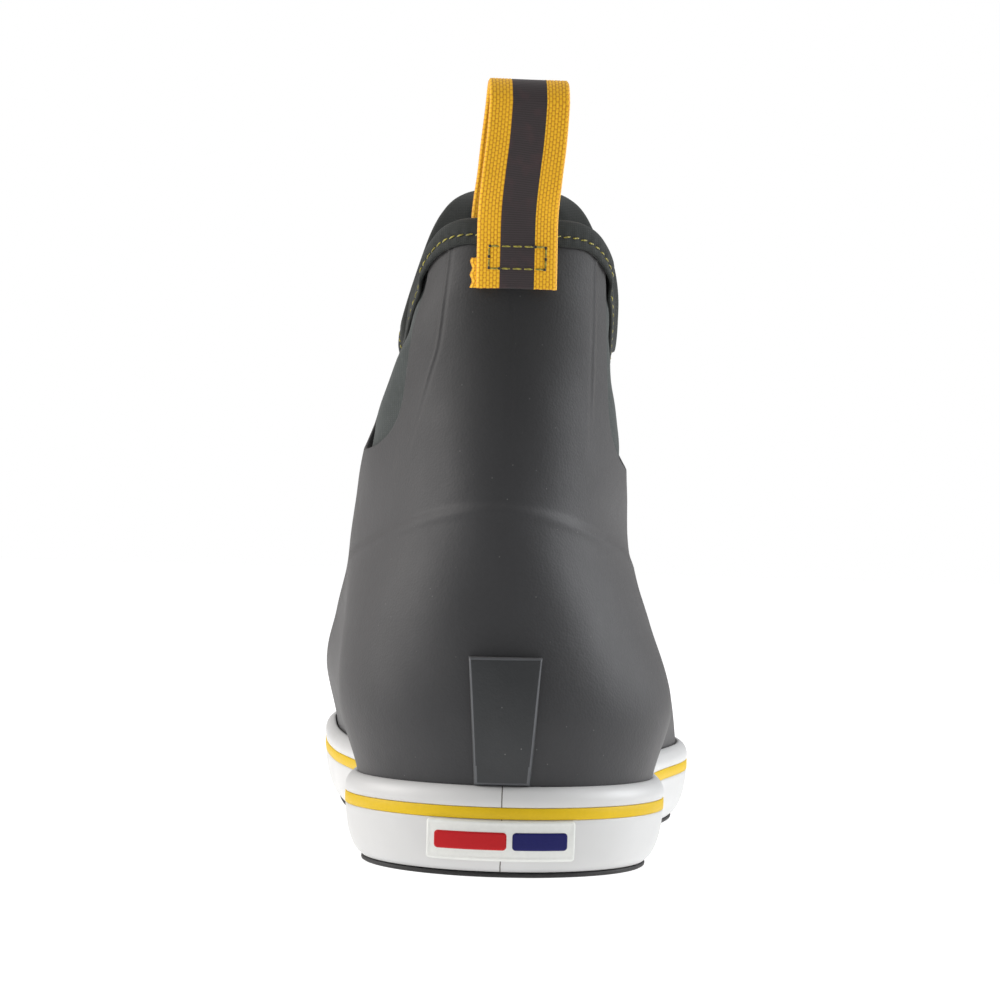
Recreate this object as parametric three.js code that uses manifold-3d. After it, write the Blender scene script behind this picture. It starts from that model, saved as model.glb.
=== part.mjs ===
import * as THREE from "three";
import { mergeVertices } from "three/addons/utils/BufferGeometryUtils.js";
import Module from "manifold-3d";

const wasm = await Module();
wasm.setup();

// Driving sizes in millimetres. Y runs heel to toe, +X is the outer side of a right foot.
const SOLE_LENGTH = 305;
const BALL_WIDTH = 109.5;
const COLLAR_BACK_HEIGHT = 161.8;
const COLLAR_SCOOP = 38;
const TOE_SPRING = 9.6;
const FIT_GAP = 0.3;

// Sole stack.
const OUTSOLE_HEIGHT = 6.8;
const MIDSOLE_THICKNESS = 5.7;
const BOARD_THICKNESS = 2;
const FOXING_HEIGHT = 21.1;
const FOXING_WALL = 3.2;
const FOXING_LIP = 4.2;
const OUTSOLE_EDGE = 1.1;
const OUTSOLE_EDGE_INSET = 4.5;
const STRIPE_HEIGHT = 2.7;
const STRIPE_LOW = 14.7;
const STRIPE_DEPTH = 0.9;
const SIPE_WIDTH = 1.6;
const SIPE_DEPTH = 3;
const SIPE_PITCH = 19;
const SIPE_WAVE = 5;

// Layers of the upper, from outside to inside.
const RUBBER = 1.6;
const BACKING = 1;
const NEOPRENE = 2;
const LINING = 0.8;
const INSOLE_CLEARANCE = 2;
const INSOLE_FOAM = 4;
const INSOLE_COVER = 0.8;

// Collar binding, gussets and stay.
const BINDING_HEIGHT = 6.5;
const BINDING_CLOTH = 1;
const GUSSET_LOW_LATERAL = 102;
const GUSSET_LOW_MEDIAL = 105.6;
const GUSSET_TUCK = 4;
const STAY_THICKNESS = 0.5;

// Heel fittings.
const KICK_TOP_WIDTH = 17.5;
const KICK_BOTTOM_WIDTH = 13.6;
const KICK_TOP_HEIGHT = 54;
const KICK_PROUD = 3.4;
const LABEL_WIDTH = 36;
const LABEL_HEIGHT = 10.2;
const LABEL_THICKNESS = 0.7;
const BAR_RED_WIDTH = 17.4;
const BAR_NAVY_WIDTH = 13.4;
const BAR_SPACING = 1.2;
const BAR_HEIGHT = 4.6;
const BAR_THICKNESS = 0.4;

// Pull loop of flat webbing.
const WEB_WIDTH = 20;
const WEB_THICKNESS = 1.5;
const LOOP_TOP = 197;
const LOOP_END_LOW = 144.4;
const LOOP_LEAN = 0.06;
const LOOP_INNER_LIFT = 3;

// Grid of the upper.
const AROUND = 36;
const DRAWN_LENGTH = 305;
const DRAWN_BALL = 109.5;
const DRAWN_HEIGHT = 161.8;

const stretchY = SOLE_LENGTH / DRAWN_LENGTH;
const stretchX = BALL_WIDTH / DRAWN_BALL;
const midsoleLow = OUTSOLE_HEIGHT + FIT_GAP;
const boardLow = midsoleLow + MIDSOLE_THICKNESS + FIT_GAP;
const upperLow = boardLow + BOARD_THICKNESS + FIT_GAP;
const foxingLow = OUTSOLE_EDGE + FIT_GAP;
const foxingTop = foxingLow + FOXING_HEIGHT;
const stretchZ = (COLLAR_BACK_HEIGHT - foxingTop) / (DRAWN_HEIGHT - 22.5);
const upperInset = FOXING_WALL + FIT_GAP;

// Heights on the shaft are drawn from the foxing top, which stays put when the shaft is taller.
function shaftHeight(z) {
  return foxingTop + (z - 22.5) * stretchZ;
}

// Smooth curve through hand-placed values at uneven stations.
function slopeAt(xs, ys, i) {
  const a = Math.max(i - 1, 0);
  const b = Math.min(i + 1, xs.length - 1);
  return (ys[b] - ys[a]) / (xs[b] - xs[a]);
}

function curve(xs, ys, x) {
  let i = 0;
  while (i < xs.length - 2 && x > xs[i + 1]) {
    i += 1;
  }
  const span = xs[i + 1] - xs[i];
  const t = (x - xs[i]) / span;
  const a = slopeAt(xs, ys, i) * span;
  const b = slopeAt(xs, ys, i + 1) * span;
  const p = ys[i];
  const q = ys[i + 1];
  return p + t * (a + t * (3 * (q - p) - 2 * a - b + t * (2 * (p - q) + a + b)));
}

// Half widths at stations along the foot: outer side, then inner side.
const STATIONS = [0, 0.16, 0.36, 0.58, 0.78, 1];
const SOLE = {
  lateral: [42.6, 42.4, 43.6, 58.4, 54.2, 36.6],
  medial: [39.4, 39.2, 35.2, 46.4, 51.2, 50.6],
  heelCap: 0.15,
  toeCap: 0.22,
};

// Rings of the upper, each in a plane from a back point to a front point: [y, z].
const RINGS = [
  {
    at: 40, back: [0.5, 40], front: [297, 44], scoop: 0, heelCap: 0.17, toeCap: 0.25,
    lateral: [43.4, 43.6, 45.6, 51.2, 49.4, 36], medial: [41.3, 41.3, 40.6, 48.6, 50.7, 47.6],
  },
  {
    at: 62, back: [2.5, 62], front: [280, 59], scoop: 0, heelCap: 0.22, toeCap: 0.31,
    lateral: [38.8, 38, 39.3, 41.2, 39.2, 27.2], medial: [40.9, 40.6, 41.7, 46.4, 44.2, 36.8],
  },
  {
    at: 84, back: [6, 84], front: [236, 75], scoop: 2, heelCap: 0.3, toeCap: 0.42,
    lateral: [33.4, 32.8, 34, 33.8, 29.8, 20.8], medial: [36.1, 37.2, 41, 41.4, 35.1, 24],
  },
  {
    at: 104, back: [9.5, 104], front: [180, 93], scoop: 8, heelCap: 0.3, toeCap: 0.42,
    lateral: [29.7, 30.5, 32.3, 32, 28.8, 22.8], medial: [30.7, 32.5, 38.8, 39.3, 33.8, 23.9],
  },
  {
    at: 122, back: [12, 122], front: [145, 116], scoop: 19, heelCap: 0.3, toeCap: 0.42,
    lateral: [27.1, 28.3, 31.2, 31.2, 28.5, 24.5], medial: [27.2, 29.8, 37.2, 37.6, 32.5, 25.5],
  },
  {
    at: 142, back: [12.5, 142], front: [128, 146], scoop: 32, heelCap: 0.3, toeCap: 0.42,
    lateral: [26.1, 26.8, 27.8, 28, 28, 27], medial: [25.2, 27.4, 33.8, 34.3, 30.2, 25.9],
  },
  {
    at: 151.8, back: [13, 151.8], front: [123.5, 169], scoop: 38, heelCap: 0.3, toeCap: 0.42,
    lateral: [25.4, 26.4, 26.6, 26.7, 27.4, 27.4], medial: [24, 24.6, 29.3, 29.8, 26.6, 24.7],
  },
  {
    at: 161.8, back: [13.5, 161.8], front: [122, 180], scoop: 38, heelCap: 0.3, toeCap: 0.42,
    lateral: [25, 26, 27, 26.9, 27.5, 27.7], medial: [23.4, 23.4, 26, 27.4, 24.8, 24.2],
  },
];

// Rounds the heel and toe ends of a ring.
function endRound(s, heelCap, toeCap) {
  if (s < heelCap) {
    return Math.sqrt(Math.max(0, 1 - (1 - s / heelCap) ** 2));
  }
  if (s > 1 - toeCap) {
    return Math.sqrt(Math.max(0, 1 - (1 - (1 - s) / toeCap) ** 2));
  }
  return 1;
}

function acrossAt(ring, s, side) {
  const lateral = curve(STATIONS, ring.lateral, s);
  const medial = curve(STATIONS, ring.medial, s);
  const half = (lateral + medial) / 2;
  return stretchX * ((lateral - medial) / 2 + side * half * endRound(s, ring.heelCap, ring.toeCap));
}

function toeLift(y) {
  const reach = Math.max(0, (y / stretchY - 200) / 105);
  return TOE_SPRING * reach * reach;
}

function alongAt(angle) {
  return (1 - Math.cos(angle)) / 2;
}

function sideOf(angle) {
  return Math.sin(angle) >= 0 ? 1 : -1;
}

// Point on the sole outline, set in from the widest edge.
function solePoint(angle, inset, z) {
  const step = 0.002;
  const before = [acrossAt(SOLE, alongAt(angle - step), sideOf(angle - step)), alongAt(angle - step)];
  const after = [acrossAt(SOLE, alongAt(angle + step), sideOf(angle + step)), alongAt(angle + step)];
  const dx = after[0] - before[0];
  const dy = (after[1] - before[1]) * SOLE_LENGTH;
  const size = Math.hypot(dx, dy);
  const x = acrossAt(SOLE, alongAt(angle), sideOf(angle)) - (dy / size) * inset;
  const y = alongAt(angle) * SOLE_LENGTH + (dx / size) * inset;
  return new THREE.Vector3(x, y, z + toeLift(y));
}

function ringPoint(ring, angle) {
  const s = alongAt(angle);
  const y = ring.back[0] + (ring.front[0] - ring.back[0]) * s;
  const dip = (ring.scoop * COLLAR_SCOOP) / 38;
  const z = shaftHeight(ring.back[1] + (ring.front[1] - ring.back[1]) * s);
  return new THREE.Vector3(acrossAt(ring, s, sideOf(angle)), y * stretchY, z - dip * Math.abs(Math.sin(angle)) ** 5);
}

// Outer face of the upper: level is the height up the back seam as drawn.
const LEVELS = [15.4, 22.5].concat(RINGS.map((ring) => ring.at));
const BACK_TOP = RINGS[RINGS.length - 1].at;

function upperFace(angle, level) {
  const points = [solePoint(angle, upperInset + FIT_GAP, upperLow), solePoint(angle, upperInset, foxingTop)];
  for (const ring of RINGS) {
    points.push(ringPoint(ring, angle));
  }
  const xs = points.map((p) => p.x);
  const ys = points.map((p) => p.y);
  const zs = points.map((p) => p.z);
  return new THREE.Vector3(curve(LEVELS, xs, level), curve(LEVELS, ys, level), curve(LEVELS, zs, level));
}

function upperNormal(angle, level) {
  const low = Math.max(level - 0.5, LEVELS[0]);
  const high = Math.min(level + 0.5, BACK_TOP);
  const along = upperFace(angle + 0.01, level).sub(upperFace(angle - 0.01, level));
  const up = upperFace(angle, high).sub(upperFace(angle, low));
  return along.cross(up).normalize();
}

function upperPoint(angle, level, proud) {
  return upperFace(angle, level).addScaledVector(upperNormal(angle, level), proud);
}

// Point near the collar, measured down the face from the top edge.
function collarPoint(angle, down, proud) {
  const top = upperFace(angle, BACK_TOP);
  const fall = upperFace(angle, BACK_TOP - 3).sub(top).normalize();
  return top.addScaledVector(fall, down).addScaledVector(upperNormal(angle, BACK_TOP), proud);
}

function angleAt(across, place) {
  let low = -0.9;
  let high = 0.9;
  for (let i = 0; i < 30; i += 1) {
    const middle = (low + high) / 2;
    if (place(middle).x < across) {
      low = middle;
    } else {
      high = middle;
    }
  }
  return (low + high) / 2;
}

// Mesh builders. Grids run anticlockwise seen from above, then upward.
function geometryOf(points, faces) {
  const geometry = new THREE.BufferGeometry();
  geometry.setAttribute("position", new THREE.Float32BufferAttribute(points.flatMap((p) => [p.x, p.y, p.z]), 3));
  geometry.setIndex(faces);
  const merged = mergeVertices(geometry, 1e-4);
  merged.computeVertexNormals();
  return merged;
}

function quad(faces, a, b, c, d) {
  faces.push(a, b, c, a, c, d);
}

// Solid between an outer and an inner grid of points, closed round or with two ends.
function layer(columns, rows, closed, outer, inner) {
  const points = [];
  const faces = [];
  const count = closed ? columns : columns + 1;
  for (const place of [outer, inner]) {
    for (let i = 0; i < count; i += 1) {
      for (let j = 0; j <= rows; j += 1) {
        points.push(place(i, j));
      }
    }
  }
  const face = (i, j) => (i % count) * (rows + 1) + j;
  const back = (i, j) => count * (rows + 1) + face(i, j);
  for (let i = 0; i < columns; i += 1) {
    for (let j = 0; j < rows; j += 1) {
      quad(faces, face(i, j), face(i + 1, j), face(i + 1, j + 1), face(i, j + 1));
      quad(faces, back(i, j), back(i, j + 1), back(i + 1, j + 1), back(i + 1, j));
    }
    quad(faces, face(i, 0), back(i, 0), back(i + 1, 0), face(i + 1, 0));
    quad(faces, face(i, rows), face(i + 1, rows), back(i + 1, rows), back(i, rows));
  }
  if (!closed) {
    for (let j = 0; j < rows; j += 1) {
      quad(faces, face(0, j), face(0, j + 1), back(0, j + 1), back(0, j));
      quad(faces, face(columns, j), back(columns, j), back(columns, j + 1), face(columns, j + 1));
    }
  }
  return geometryOf(points, faces);
}

// Closed section carried round the boot: outer wall up, top inward, inner wall down.
function band(section, place) {
  const points = [];
  const faces = [];
  for (let i = 0; i < AROUND; i += 1) {
    for (const corner of section) {
      points.push(place((i / AROUND) * 2 * Math.PI, corner[0], corner[1]));
    }
  }
  const size = section.length;
  const index = (i, k) => (i % AROUND) * size + (k % size);
  for (let i = 0; i < AROUND; i += 1) {
    for (let k = 0; k < size; k += 1) {
      quad(faces, index(i, k), index(i + 1, k), index(i + 1, k + 1), index(i, k + 1));
    }
  }
  return geometryOf(points, faces);
}

// Slab in the sole: a stack of [inset, height] outlines from the bottom up.
function slab(steps) {
  const points = [];
  const faces = [];
  for (let i = 0; i < AROUND; i += 1) {
    for (const step of steps) {
      points.push(solePoint((i / AROUND) * 2 * Math.PI, step[0], step[1]));
    }
  }
  const rows = steps.length;
  const index = (i, j) => (i % AROUND) * rows + j;
  for (let i = 0; i < AROUND; i += 1) {
    for (let j = 0; j + 1 < rows; j += 1) {
      quad(faces, index(i, j), index(i + 1, j), index(i + 1, j + 1), index(i, j + 1));
    }
  }
  for (let i = 0; i < AROUND / 2; i += 1) {
    const other = AROUND - i;
    for (const [j, up] of [[0, false], [rows - 1, true]]) {
      const corners = [index(i, j), index(i + 1, j), index(other - 1, j), index(other, j)];
      const ring = up ? corners : corners.reverse();
      const unique = ring.filter((p, k) => p !== ring[(k + 1) % 4]);
      faces.push(unique[0], unique[1], unique[2]);
      if (unique.length === 4) {
        faces.push(unique[0], unique[2], unique[3]);
      }
    }
  }
  return geometryOf(points, faces);
}

function toSolid(geometry) {
  const bare = geometry.clone();
  bare.deleteAttribute("normal");
  bare.deleteAttribute("uv");
  const merged = mergeVertices(bare, 1e-4);
  const vertProperties = Float32Array.from(merged.attributes.position.array);
  const triVerts = Uint32Array.from(merged.index.array);
  return new wasm.Manifold(new wasm.Mesh({ numProp: 3, vertProperties, triVerts }));
}

function fromSolid(solid) {
  const mesh = solid.getMesh();
  const points = [];
  for (let i = 0; i < mesh.vertProperties.length; i += mesh.numProp) {
    const at = mesh.vertProperties;
    points.push(new THREE.Vector3(at[i], at[i + 1], at[i + 2]));
  }
  return geometryOf(points, Array.from(mesh.triVerts));
}

// Side-view outline [y, z] carried across X from one plane to another.
function sidePrism(outline, from, to) {
  const shape = new THREE.Shape(outline.map((p) => new THREE.Vector2(p[0], p[1])));
  const geometry = new THREE.ExtrudeGeometry(shape, { depth: to - from, bevelEnabled: false });
  const turn = new THREE.Matrix4().makeBasis(
    new THREE.Vector3(0, 1, 0),
    new THREE.Vector3(0, 0, 1),
    new THREE.Vector3(1, 0, 0),
  );
  geometry.applyMatrix4(turn);
  geometry.translate(from, 0, 0);
  return toSolid(geometry);
}

// Moves every side of an anticlockwise outline outward.
function grown(outline, amount) {
  return outline.map((p, i) => {
    const before = outline[(i + outline.length - 1) % outline.length];
    const after = outline[(i + 1) % outline.length];
    const a = new THREE.Vector2(p[1] - before[1], before[0] - p[0]).normalize();
    const b = new THREE.Vector2(after[1] - p[1], p[0] - after[0]).normalize();
    const scale = amount / (1 + a.dot(b));
    return [p[0] + (a.x + b.x) * scale, p[1] + (a.y + b.y) * scale];
  });
}

const boot = new THREE.Group();
boot.name = "deck_boot";

function add(name, geometry, color, roughness) {
  const material = new THREE.MeshStandardMaterial({ color, roughness, metalness: 0 });
  const mesh = new THREE.Mesh(geometry, material);
  mesh.name = name;
  boot.add(mesh);
}

// Sole stack.
const soleSteps = [
  [OUTSOLE_EDGE_INSET + 0.6, 0],
  [OUTSOLE_EDGE_INSET, 0.4],
  [OUTSOLE_EDGE_INSET, OUTSOLE_EDGE],
  [FOXING_WALL + FOXING_LIP + FIT_GAP, OUTSOLE_EDGE],
  [FOXING_WALL + FOXING_LIP + FIT_GAP, OUTSOLE_HEIGHT],
];
let outsole = toSolid(slab(soleSteps));
const sipeReach = BALL_WIDTH / 2;
for (let y = SIPE_PITCH; y < SOLE_LENGTH - 2 * SIPE_PITCH; y += SIPE_PITCH) {
  const front = [];
  const back = [];
  for (let k = -3; k <= 3; k += 1) {
    const wave = (k % 2 === 0 ? -0.5 : 0.5) * SIPE_WAVE;
    front.push(new THREE.Vector2((k / 3) * (sipeReach + 10), y + wave + SIPE_WIDTH / 2));
    back.unshift(new THREE.Vector2((k / 3) * (sipeReach + 10), y + wave - SIPE_WIDTH / 2));
  }
  const shape = new THREE.Shape(front.concat(back));
  const depth = 1 + SIPE_DEPTH + toeLift(y);
  const cutter = new THREE.ExtrudeGeometry(shape, { depth, bevelEnabled: false });
  cutter.translate(0, 0, -1);
  outsole = outsole.subtract(toSolid(cutter));
}
add("outsole", fromSolid(outsole), 0x3c4146, 0.75);

const innerInset = upperInset;
add("midsole", slab([[innerInset, midsoleLow], [innerInset, midsoleLow + MIDSOLE_THICKNESS]]), 0xb9b7ae, 0.9);
add("insole_board", slab([[innerInset, boardLow], [innerInset, boardLow + BOARD_THICKNESS]]), 0xa68a63, 0.9);

// Foxing wall with a stripe groove, a lip tucked under the midsole and a butt seam at the back.
const stripeTop = STRIPE_LOW + STRIPE_HEIGHT;
const foxingOuter = [
  [OUTSOLE_EDGE_INSET - 0.1, foxingLow],
  [2.7, foxingLow + 2],
  [1.2, foxingLow + 5.6],
  [0.4, foxingLow + 9.6],
  [0.1, STRIPE_LOW - FIT_GAP],
  [STRIPE_DEPTH + FIT_GAP, STRIPE_LOW - FIT_GAP],
  [STRIPE_DEPTH + FIT_GAP, stripeTop + FIT_GAP],
  [0, stripeTop + FIT_GAP],
  [0.1, foxingTop - 2],
  [0.8, foxingTop],
];
const foxingInner = [
  [FOXING_WALL - FIT_GAP, foxingTop],
  [FOXING_WALL, foxingTop - 6],
  [FOXING_WALL, OUTSOLE_HEIGHT + FIT_GAP / 2],
  [FOXING_WALL + FOXING_LIP, OUTSOLE_HEIGHT],
  [FOXING_WALL + FOXING_LIP, foxingLow],
];
add("foxing_band", band(foxingOuter.concat(foxingInner), solePoint), 0xdfe0de, 0.55);
const stripeSection = [[0.05, STRIPE_LOW], [0.05, stripeTop], [STRIPE_DEPTH, stripeTop], [STRIPE_DEPTH, STRIPE_LOW]];
add("foxing_stripe", band(stripeSection, solePoint), 0xd8b01f, 0.55);

// Insole pair inside the lining.
const backingOut = -(RUBBER + FIT_GAP);
const backingIn = backingOut - BACKING;
const neopreneOut = backingIn - FIT_GAP;
const neopreneIn = neopreneOut - NEOPRENE;
const liningOut = neopreneIn - FIT_GAP;
const liningIn = liningOut - LINING;
const insoleInset = upperInset + FIT_GAP - liningIn + INSOLE_CLEARANCE;
const foamTop = upperLow + INSOLE_FOAM;
add("insole_foam", slab([[insoleInset + 0.8, upperLow], [insoleInset, upperLow + 1], [insoleInset, foamTop]]), 0x4c5257, 0.95);
const coverLow = foamTop + FIT_GAP;
add("insole_cover", slab([[insoleInset, coverLow], [insoleInset, coverLow + INSOLE_COVER]]), 0x2f3338, 0.95);

// Shell layers share one grid so that they nest.
const HEIGHTS = [15.4, 22.5, 31, 40, 51, 62, 73, 84, 94, 104, 115, 128, 142];
const edgeDrop = BINDING_CLOTH + 3 * FIT_GAP;
const belowBinding = BINDING_HEIGHT + 1.5;
const rowCount = HEIGHTS.length + 1;

function gridPoint(i, j, proud) {
  const angle = (i / AROUND) * 2 * Math.PI;
  if (j >= HEIGHTS.length) {
    return collarPoint(angle, j === rowCount ? edgeDrop : belowBinding, proud);
  }
  return upperPoint(angle, HEIGHTS[j], proud);
}

function shellLayer(out, into) {
  return layer(AROUND, rowCount, true, (i, j) => gridPoint(i, j, out), (i, j) => gridPoint(i, j, into));
}

// Gusset windows: a U narrowing downward, open at the collar.
function gussetOutline(low) {
  const rise = shaftHeight(low);
  const top = shaftHeight(210);
  const outline = [
    [46, rise + 1.8],
    [57, rise],
    [67, rise + 1.8],
    [72.5, rise + 7],
    [78, rise + 17],
    [93, shaftHeight(155)],
    [104, top],
    [26, top],
    [31.5, shaftHeight(153)],
    [33.5, rise + 17],
    [37, rise + 7],
  ];
  return outline.map((p) => [p[0] * stretchY, p[1]]);
}

const lateralOutline = gussetOutline(GUSSET_LOW_LATERAL);
const medialOutline = gussetOutline(GUSSET_LOW_MEDIAL);
const WIDE = BALL_WIDTH;
const lateralWindow = (grow) => sidePrism(grown(lateralOutline, grow), 1, WIDE);
const medialWindow = (grow) => sidePrism(grown(medialOutline, grow), -WIDE, -1);

const shell = toSolid(shellLayer(0, -RUBBER)).subtract(lateralWindow(0)).subtract(medialWindow(0));
add("rubber_shell", fromSolid(shell), 0x48484a, 0.6);

const heelOutline = [
  [-30, 0], [95, 0], [90, 40], [72, 62], [47, shaftHeight(78)], [22, shaftHeight(88)], [-30, shaftHeight(93)],
];
const toeOutline = [[252, 0], [360, 0], [360, 120], [264, 120]];
const heelZone = (grow) => sidePrism(grown(heelOutline, grow), -WIDE, WIDE);
const toeZone = (grow) => sidePrism(grown(toeOutline.map((p) => [p[0] * stretchY, p[1]]), grow), -WIDE, WIDE);
const backing = toSolid(shellLayer(backingOut, backingIn));
add("heel_counter", fromSolid(backing.intersect(heelZone(0))), 0xc9b48a, 0.85);
add("toe_puff", fromSolid(backing.intersect(toeZone(0))), 0xc9b48a, 0.85);
add("gusset_lateral", fromSolid(backing.intersect(lateralWindow(GUSSET_TUCK))), 0x4b5250, 0.95);
add("gusset_medial", fromSolid(backing.intersect(medialWindow(GUSSET_TUCK))), 0x4b5250, 0.95);
const tuckCut = GUSSET_TUCK + FIT_GAP;
const cloth = backing
  .subtract(heelZone(FIT_GAP))
  .subtract(toeZone(FIT_GAP))
  .subtract(lateralWindow(tuckCut))
  .subtract(medialWindow(tuckCut));
add("fabric_backing", fromSolid(cloth), 0x8d8a80, 0.95);
add("neoprene_bootie", shellLayer(neopreneOut, neopreneIn), 0x2e3133, 0.95);
add("lining", shellLayer(liningOut, liningIn), 0x55595c, 0.95);

// Binding folded over the collar edge.
const bindOut = FIT_GAP + BINDING_CLOTH;
const bindIn = liningIn - FIT_GAP;
const bindingSection = [
  [bindOut, BINDING_HEIGHT],
  [bindOut, 0.4],
  [bindOut - 0.4, 0],
  [bindIn - BINDING_CLOTH + 0.4, 0],
  [bindIn - BINDING_CLOTH, 0.4],
  [bindIn - BINDING_CLOTH, BINDING_HEIGHT],
  [bindIn, BINDING_HEIGHT],
  [bindIn, BINDING_CLOTH],
  [FIT_GAP, BINDING_CLOTH],
  [FIT_GAP, BINDING_HEIGHT],
];
add("collar_binding", band(bindingSection, (angle, proud, down) => collarPoint(angle, down, proud)), 0x3c403c, 0.95);

// Back stay: a raised strip up the heel seam, on the same grid as the shell.
const STAY_COLUMNS = 6;
const stayRow = HEIGHTS.indexOf(94);
const stayRows = HEIGHTS.length - stayRow;
const stay = layer(
  STAY_COLUMNS,
  stayRows,
  false,
  (i, j) => gridPoint(i - STAY_COLUMNS / 2, stayRow + j, FIT_GAP + STAY_THICKNESS),
  (i, j) => gridPoint(i - STAY_COLUMNS / 2, stayRow + j, FIT_GAP),
);
add("back_stay", stay, 0x454547, 0.6);

// Kick tab: a wedge at the back of the heel, thick at the top.
const kickRows = 6;
const kickLow = 23.2;
function kickPoint(i, j, proud) {
  const level = kickLow + ((KICK_TOP_HEIGHT - kickLow) * j) / kickRows;
  const width = KICK_BOTTOM_WIDTH + ((KICK_TOP_WIDTH - KICK_BOTTOM_WIDTH) * j) / kickRows;
  const across = (i / 4 - 0.5) * width;
  return upperPoint(angleAt(across, (angle) => upperFace(angle, level)), level, proud);
}
const kickOuter = (i, j) => {
  const rim = i === 0 || i === 4 || j === 0 || j === kickRows ? 0.9 : 0;
  return kickPoint(i, j, FIT_GAP + 1 + (KICK_PROUD - 1) * (j / kickRows) - rim);
};
add("heel_kick_tab", layer(4, kickRows, false, kickOuter, (i, j) => kickPoint(i, j, FIT_GAP)), 0x3c3f44, 0.6);

// Label moulded on the foxing at the back, with two plain bars.
const wallHeights = foxingOuter.slice(0, 5).map((p) => p[1]);
const wallInsets = foxingOuter.slice(0, 5).map((p) => p[0]);
function wallPoint(across, z, proud) {
  const inset = curve(wallHeights, wallInsets, z);
  const angle = angleAt(across, (a) => solePoint(a, inset, z));
  return solePoint(angle, inset - proud, z);
}
function plate(width, low, high, under, over, middle = 0) {
  const columns = 8;
  const rows = 3;
  const place = (i, j, proud) => wallPoint(middle + (i / columns - 0.5) * width, low + ((high - low) * j) / rows, proud);
  return layer(columns, rows, false, (i, j) => place(i, j, over), (i, j) => place(i, j, under));
}
const labelLow = STRIPE_LOW - FIT_GAP - LABEL_HEIGHT;
const labelOver = FIT_GAP + LABEL_THICKNESS;
const barUnder = labelOver + FIT_GAP;
const barMiddle = labelLow + LABEL_HEIGHT / 2;
add("heel_label", plate(LABEL_WIDTH, labelLow, labelLow + LABEL_HEIGHT, FIT_GAP, labelOver), 0xe1e1de, 0.5);
const barOver = barUnder + BAR_THICKNESS;
const barLow = barMiddle - BAR_HEIGHT / 2;
const barTop = barMiddle + BAR_HEIGHT / 2;
const barRun = BAR_RED_WIDTH + BAR_SPACING + BAR_NAVY_WIDTH;
const navyMiddle = (barRun - BAR_NAVY_WIDTH) / 2;
const redMiddle = (BAR_RED_WIDTH - barRun) / 2;
add("label_bar_navy", plate(BAR_NAVY_WIDTH, barLow, barTop, barUnder, barOver, navyMiddle), 0x191e69, 0.5);
add("label_bar_red", plate(BAR_RED_WIDTH, barLow, barTop, barUnder, barOver, redMiddle), 0xd71e1e, 0.5);

// Pull loop: two stitched ends and the free bow between them.
const outerFace = bindOut + FIT_GAP;
const innerFace = bindIn - BINDING_CLOTH - FIT_GAP;
const topZ = upperFace(0, BACK_TOP).z;
const seamY = upperFace(0, BACK_TOP).y;
const HEM_RISE = 1.6;

// A webbing end follows the curve of the collar: drops run from its low edge to its high edge.
function webEnd(drops, out, into) {
  const columns = 4;
  const place = (i, j, proud) => {
    const across = (i / columns - 0.5) * WEB_WIDTH;
    return collarPoint(angleAt(across, (a) => collarPoint(a, drops[j], proud)), drops[j], proud);
  };
  return layer(columns, drops.length - 1, false, (i, j) => place(i, j, out), (i, j) => place(i, j, into));
}
const outerDrop = topZ - shaftHeight(LOOP_END_LOW);
add("pull_loop_outer_end", webEnd([outerDrop, outerDrop / 2, -HEM_RISE], outerFace + WEB_THICKNESS, outerFace), 0xeeb21e, 0.9);
add("pull_loop_inner_end", webEnd([14, 7, -HEM_RISE], innerFace, innerFace - WEB_THICKNESS), 0xeeb21e, 0.9);

// The bow: flat webbing bent in the side view, [y, z], leaning as it rises.
function stripSolid(path, width, lean) {
  const place = (i, j, depth) => {
    const before = path[Math.max(j - 1, 0)];
    const after = path[Math.min(j + 1, path.length - 1)];
    const away = new THREE.Vector2(after[1] - before[1], before[0] - after[0]).normalize();
    const x = (0.5 - i / 2) * width + (path[j][1] - topZ) * lean;
    return new THREE.Vector3(x, path[j][0] + away.x * depth, path[j][1] + away.y * depth);
  };
  const half = WEB_THICKNESS / 2;
  return layer(2, path.length - 1, false, (i, j) => place(i, j, half), (i, j) => place(i, j, -half));
}
const outerY = seamY - outerFace - WEB_THICKNESS / 2;
const innerY = seamY - innerFace + WEB_THICKNESS / 2;
const hem = topZ + HEM_RISE;
const bowLow = hem + 0.8;
const bowHigh = shaftHeight(LOOP_TOP) - WEB_THICKNESS / 2;
const bowMiddle = (outerY + innerY) / 2;
const bowRadius = (innerY - outerY) / 2 + 0.8;
const bowPath = [[innerY, bowLow + LOOP_INNER_LIFT], [innerY + 0.6, bowLow + 12]];
for (let k = 0; k <= 8; k += 1) {
  const turn = (k / 8) * Math.PI;
  bowPath.push([bowMiddle + bowRadius * Math.cos(turn), bowHigh - bowRadius + bowRadius * Math.sin(turn)]);
}
bowPath.push([outerY - 0.6, bowLow + 12], [outerY, bowLow]);
add("pull_loop_bow", stripSolid(bowPath, WEB_WIDTH, LOOP_LEAN), 0xeeb21e, 0.9);

// Set the boot down with its box centred on the origin.
const bounds = new THREE.Box3().setFromObject(boot);
const middle = bounds.getCenter(new THREE.Vector3());
for (const mesh of boot.children) {
  mesh.geometry.translate(-middle.x, -middle.y, -bounds.min.z);
}

export default boot;
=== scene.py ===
import math

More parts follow.
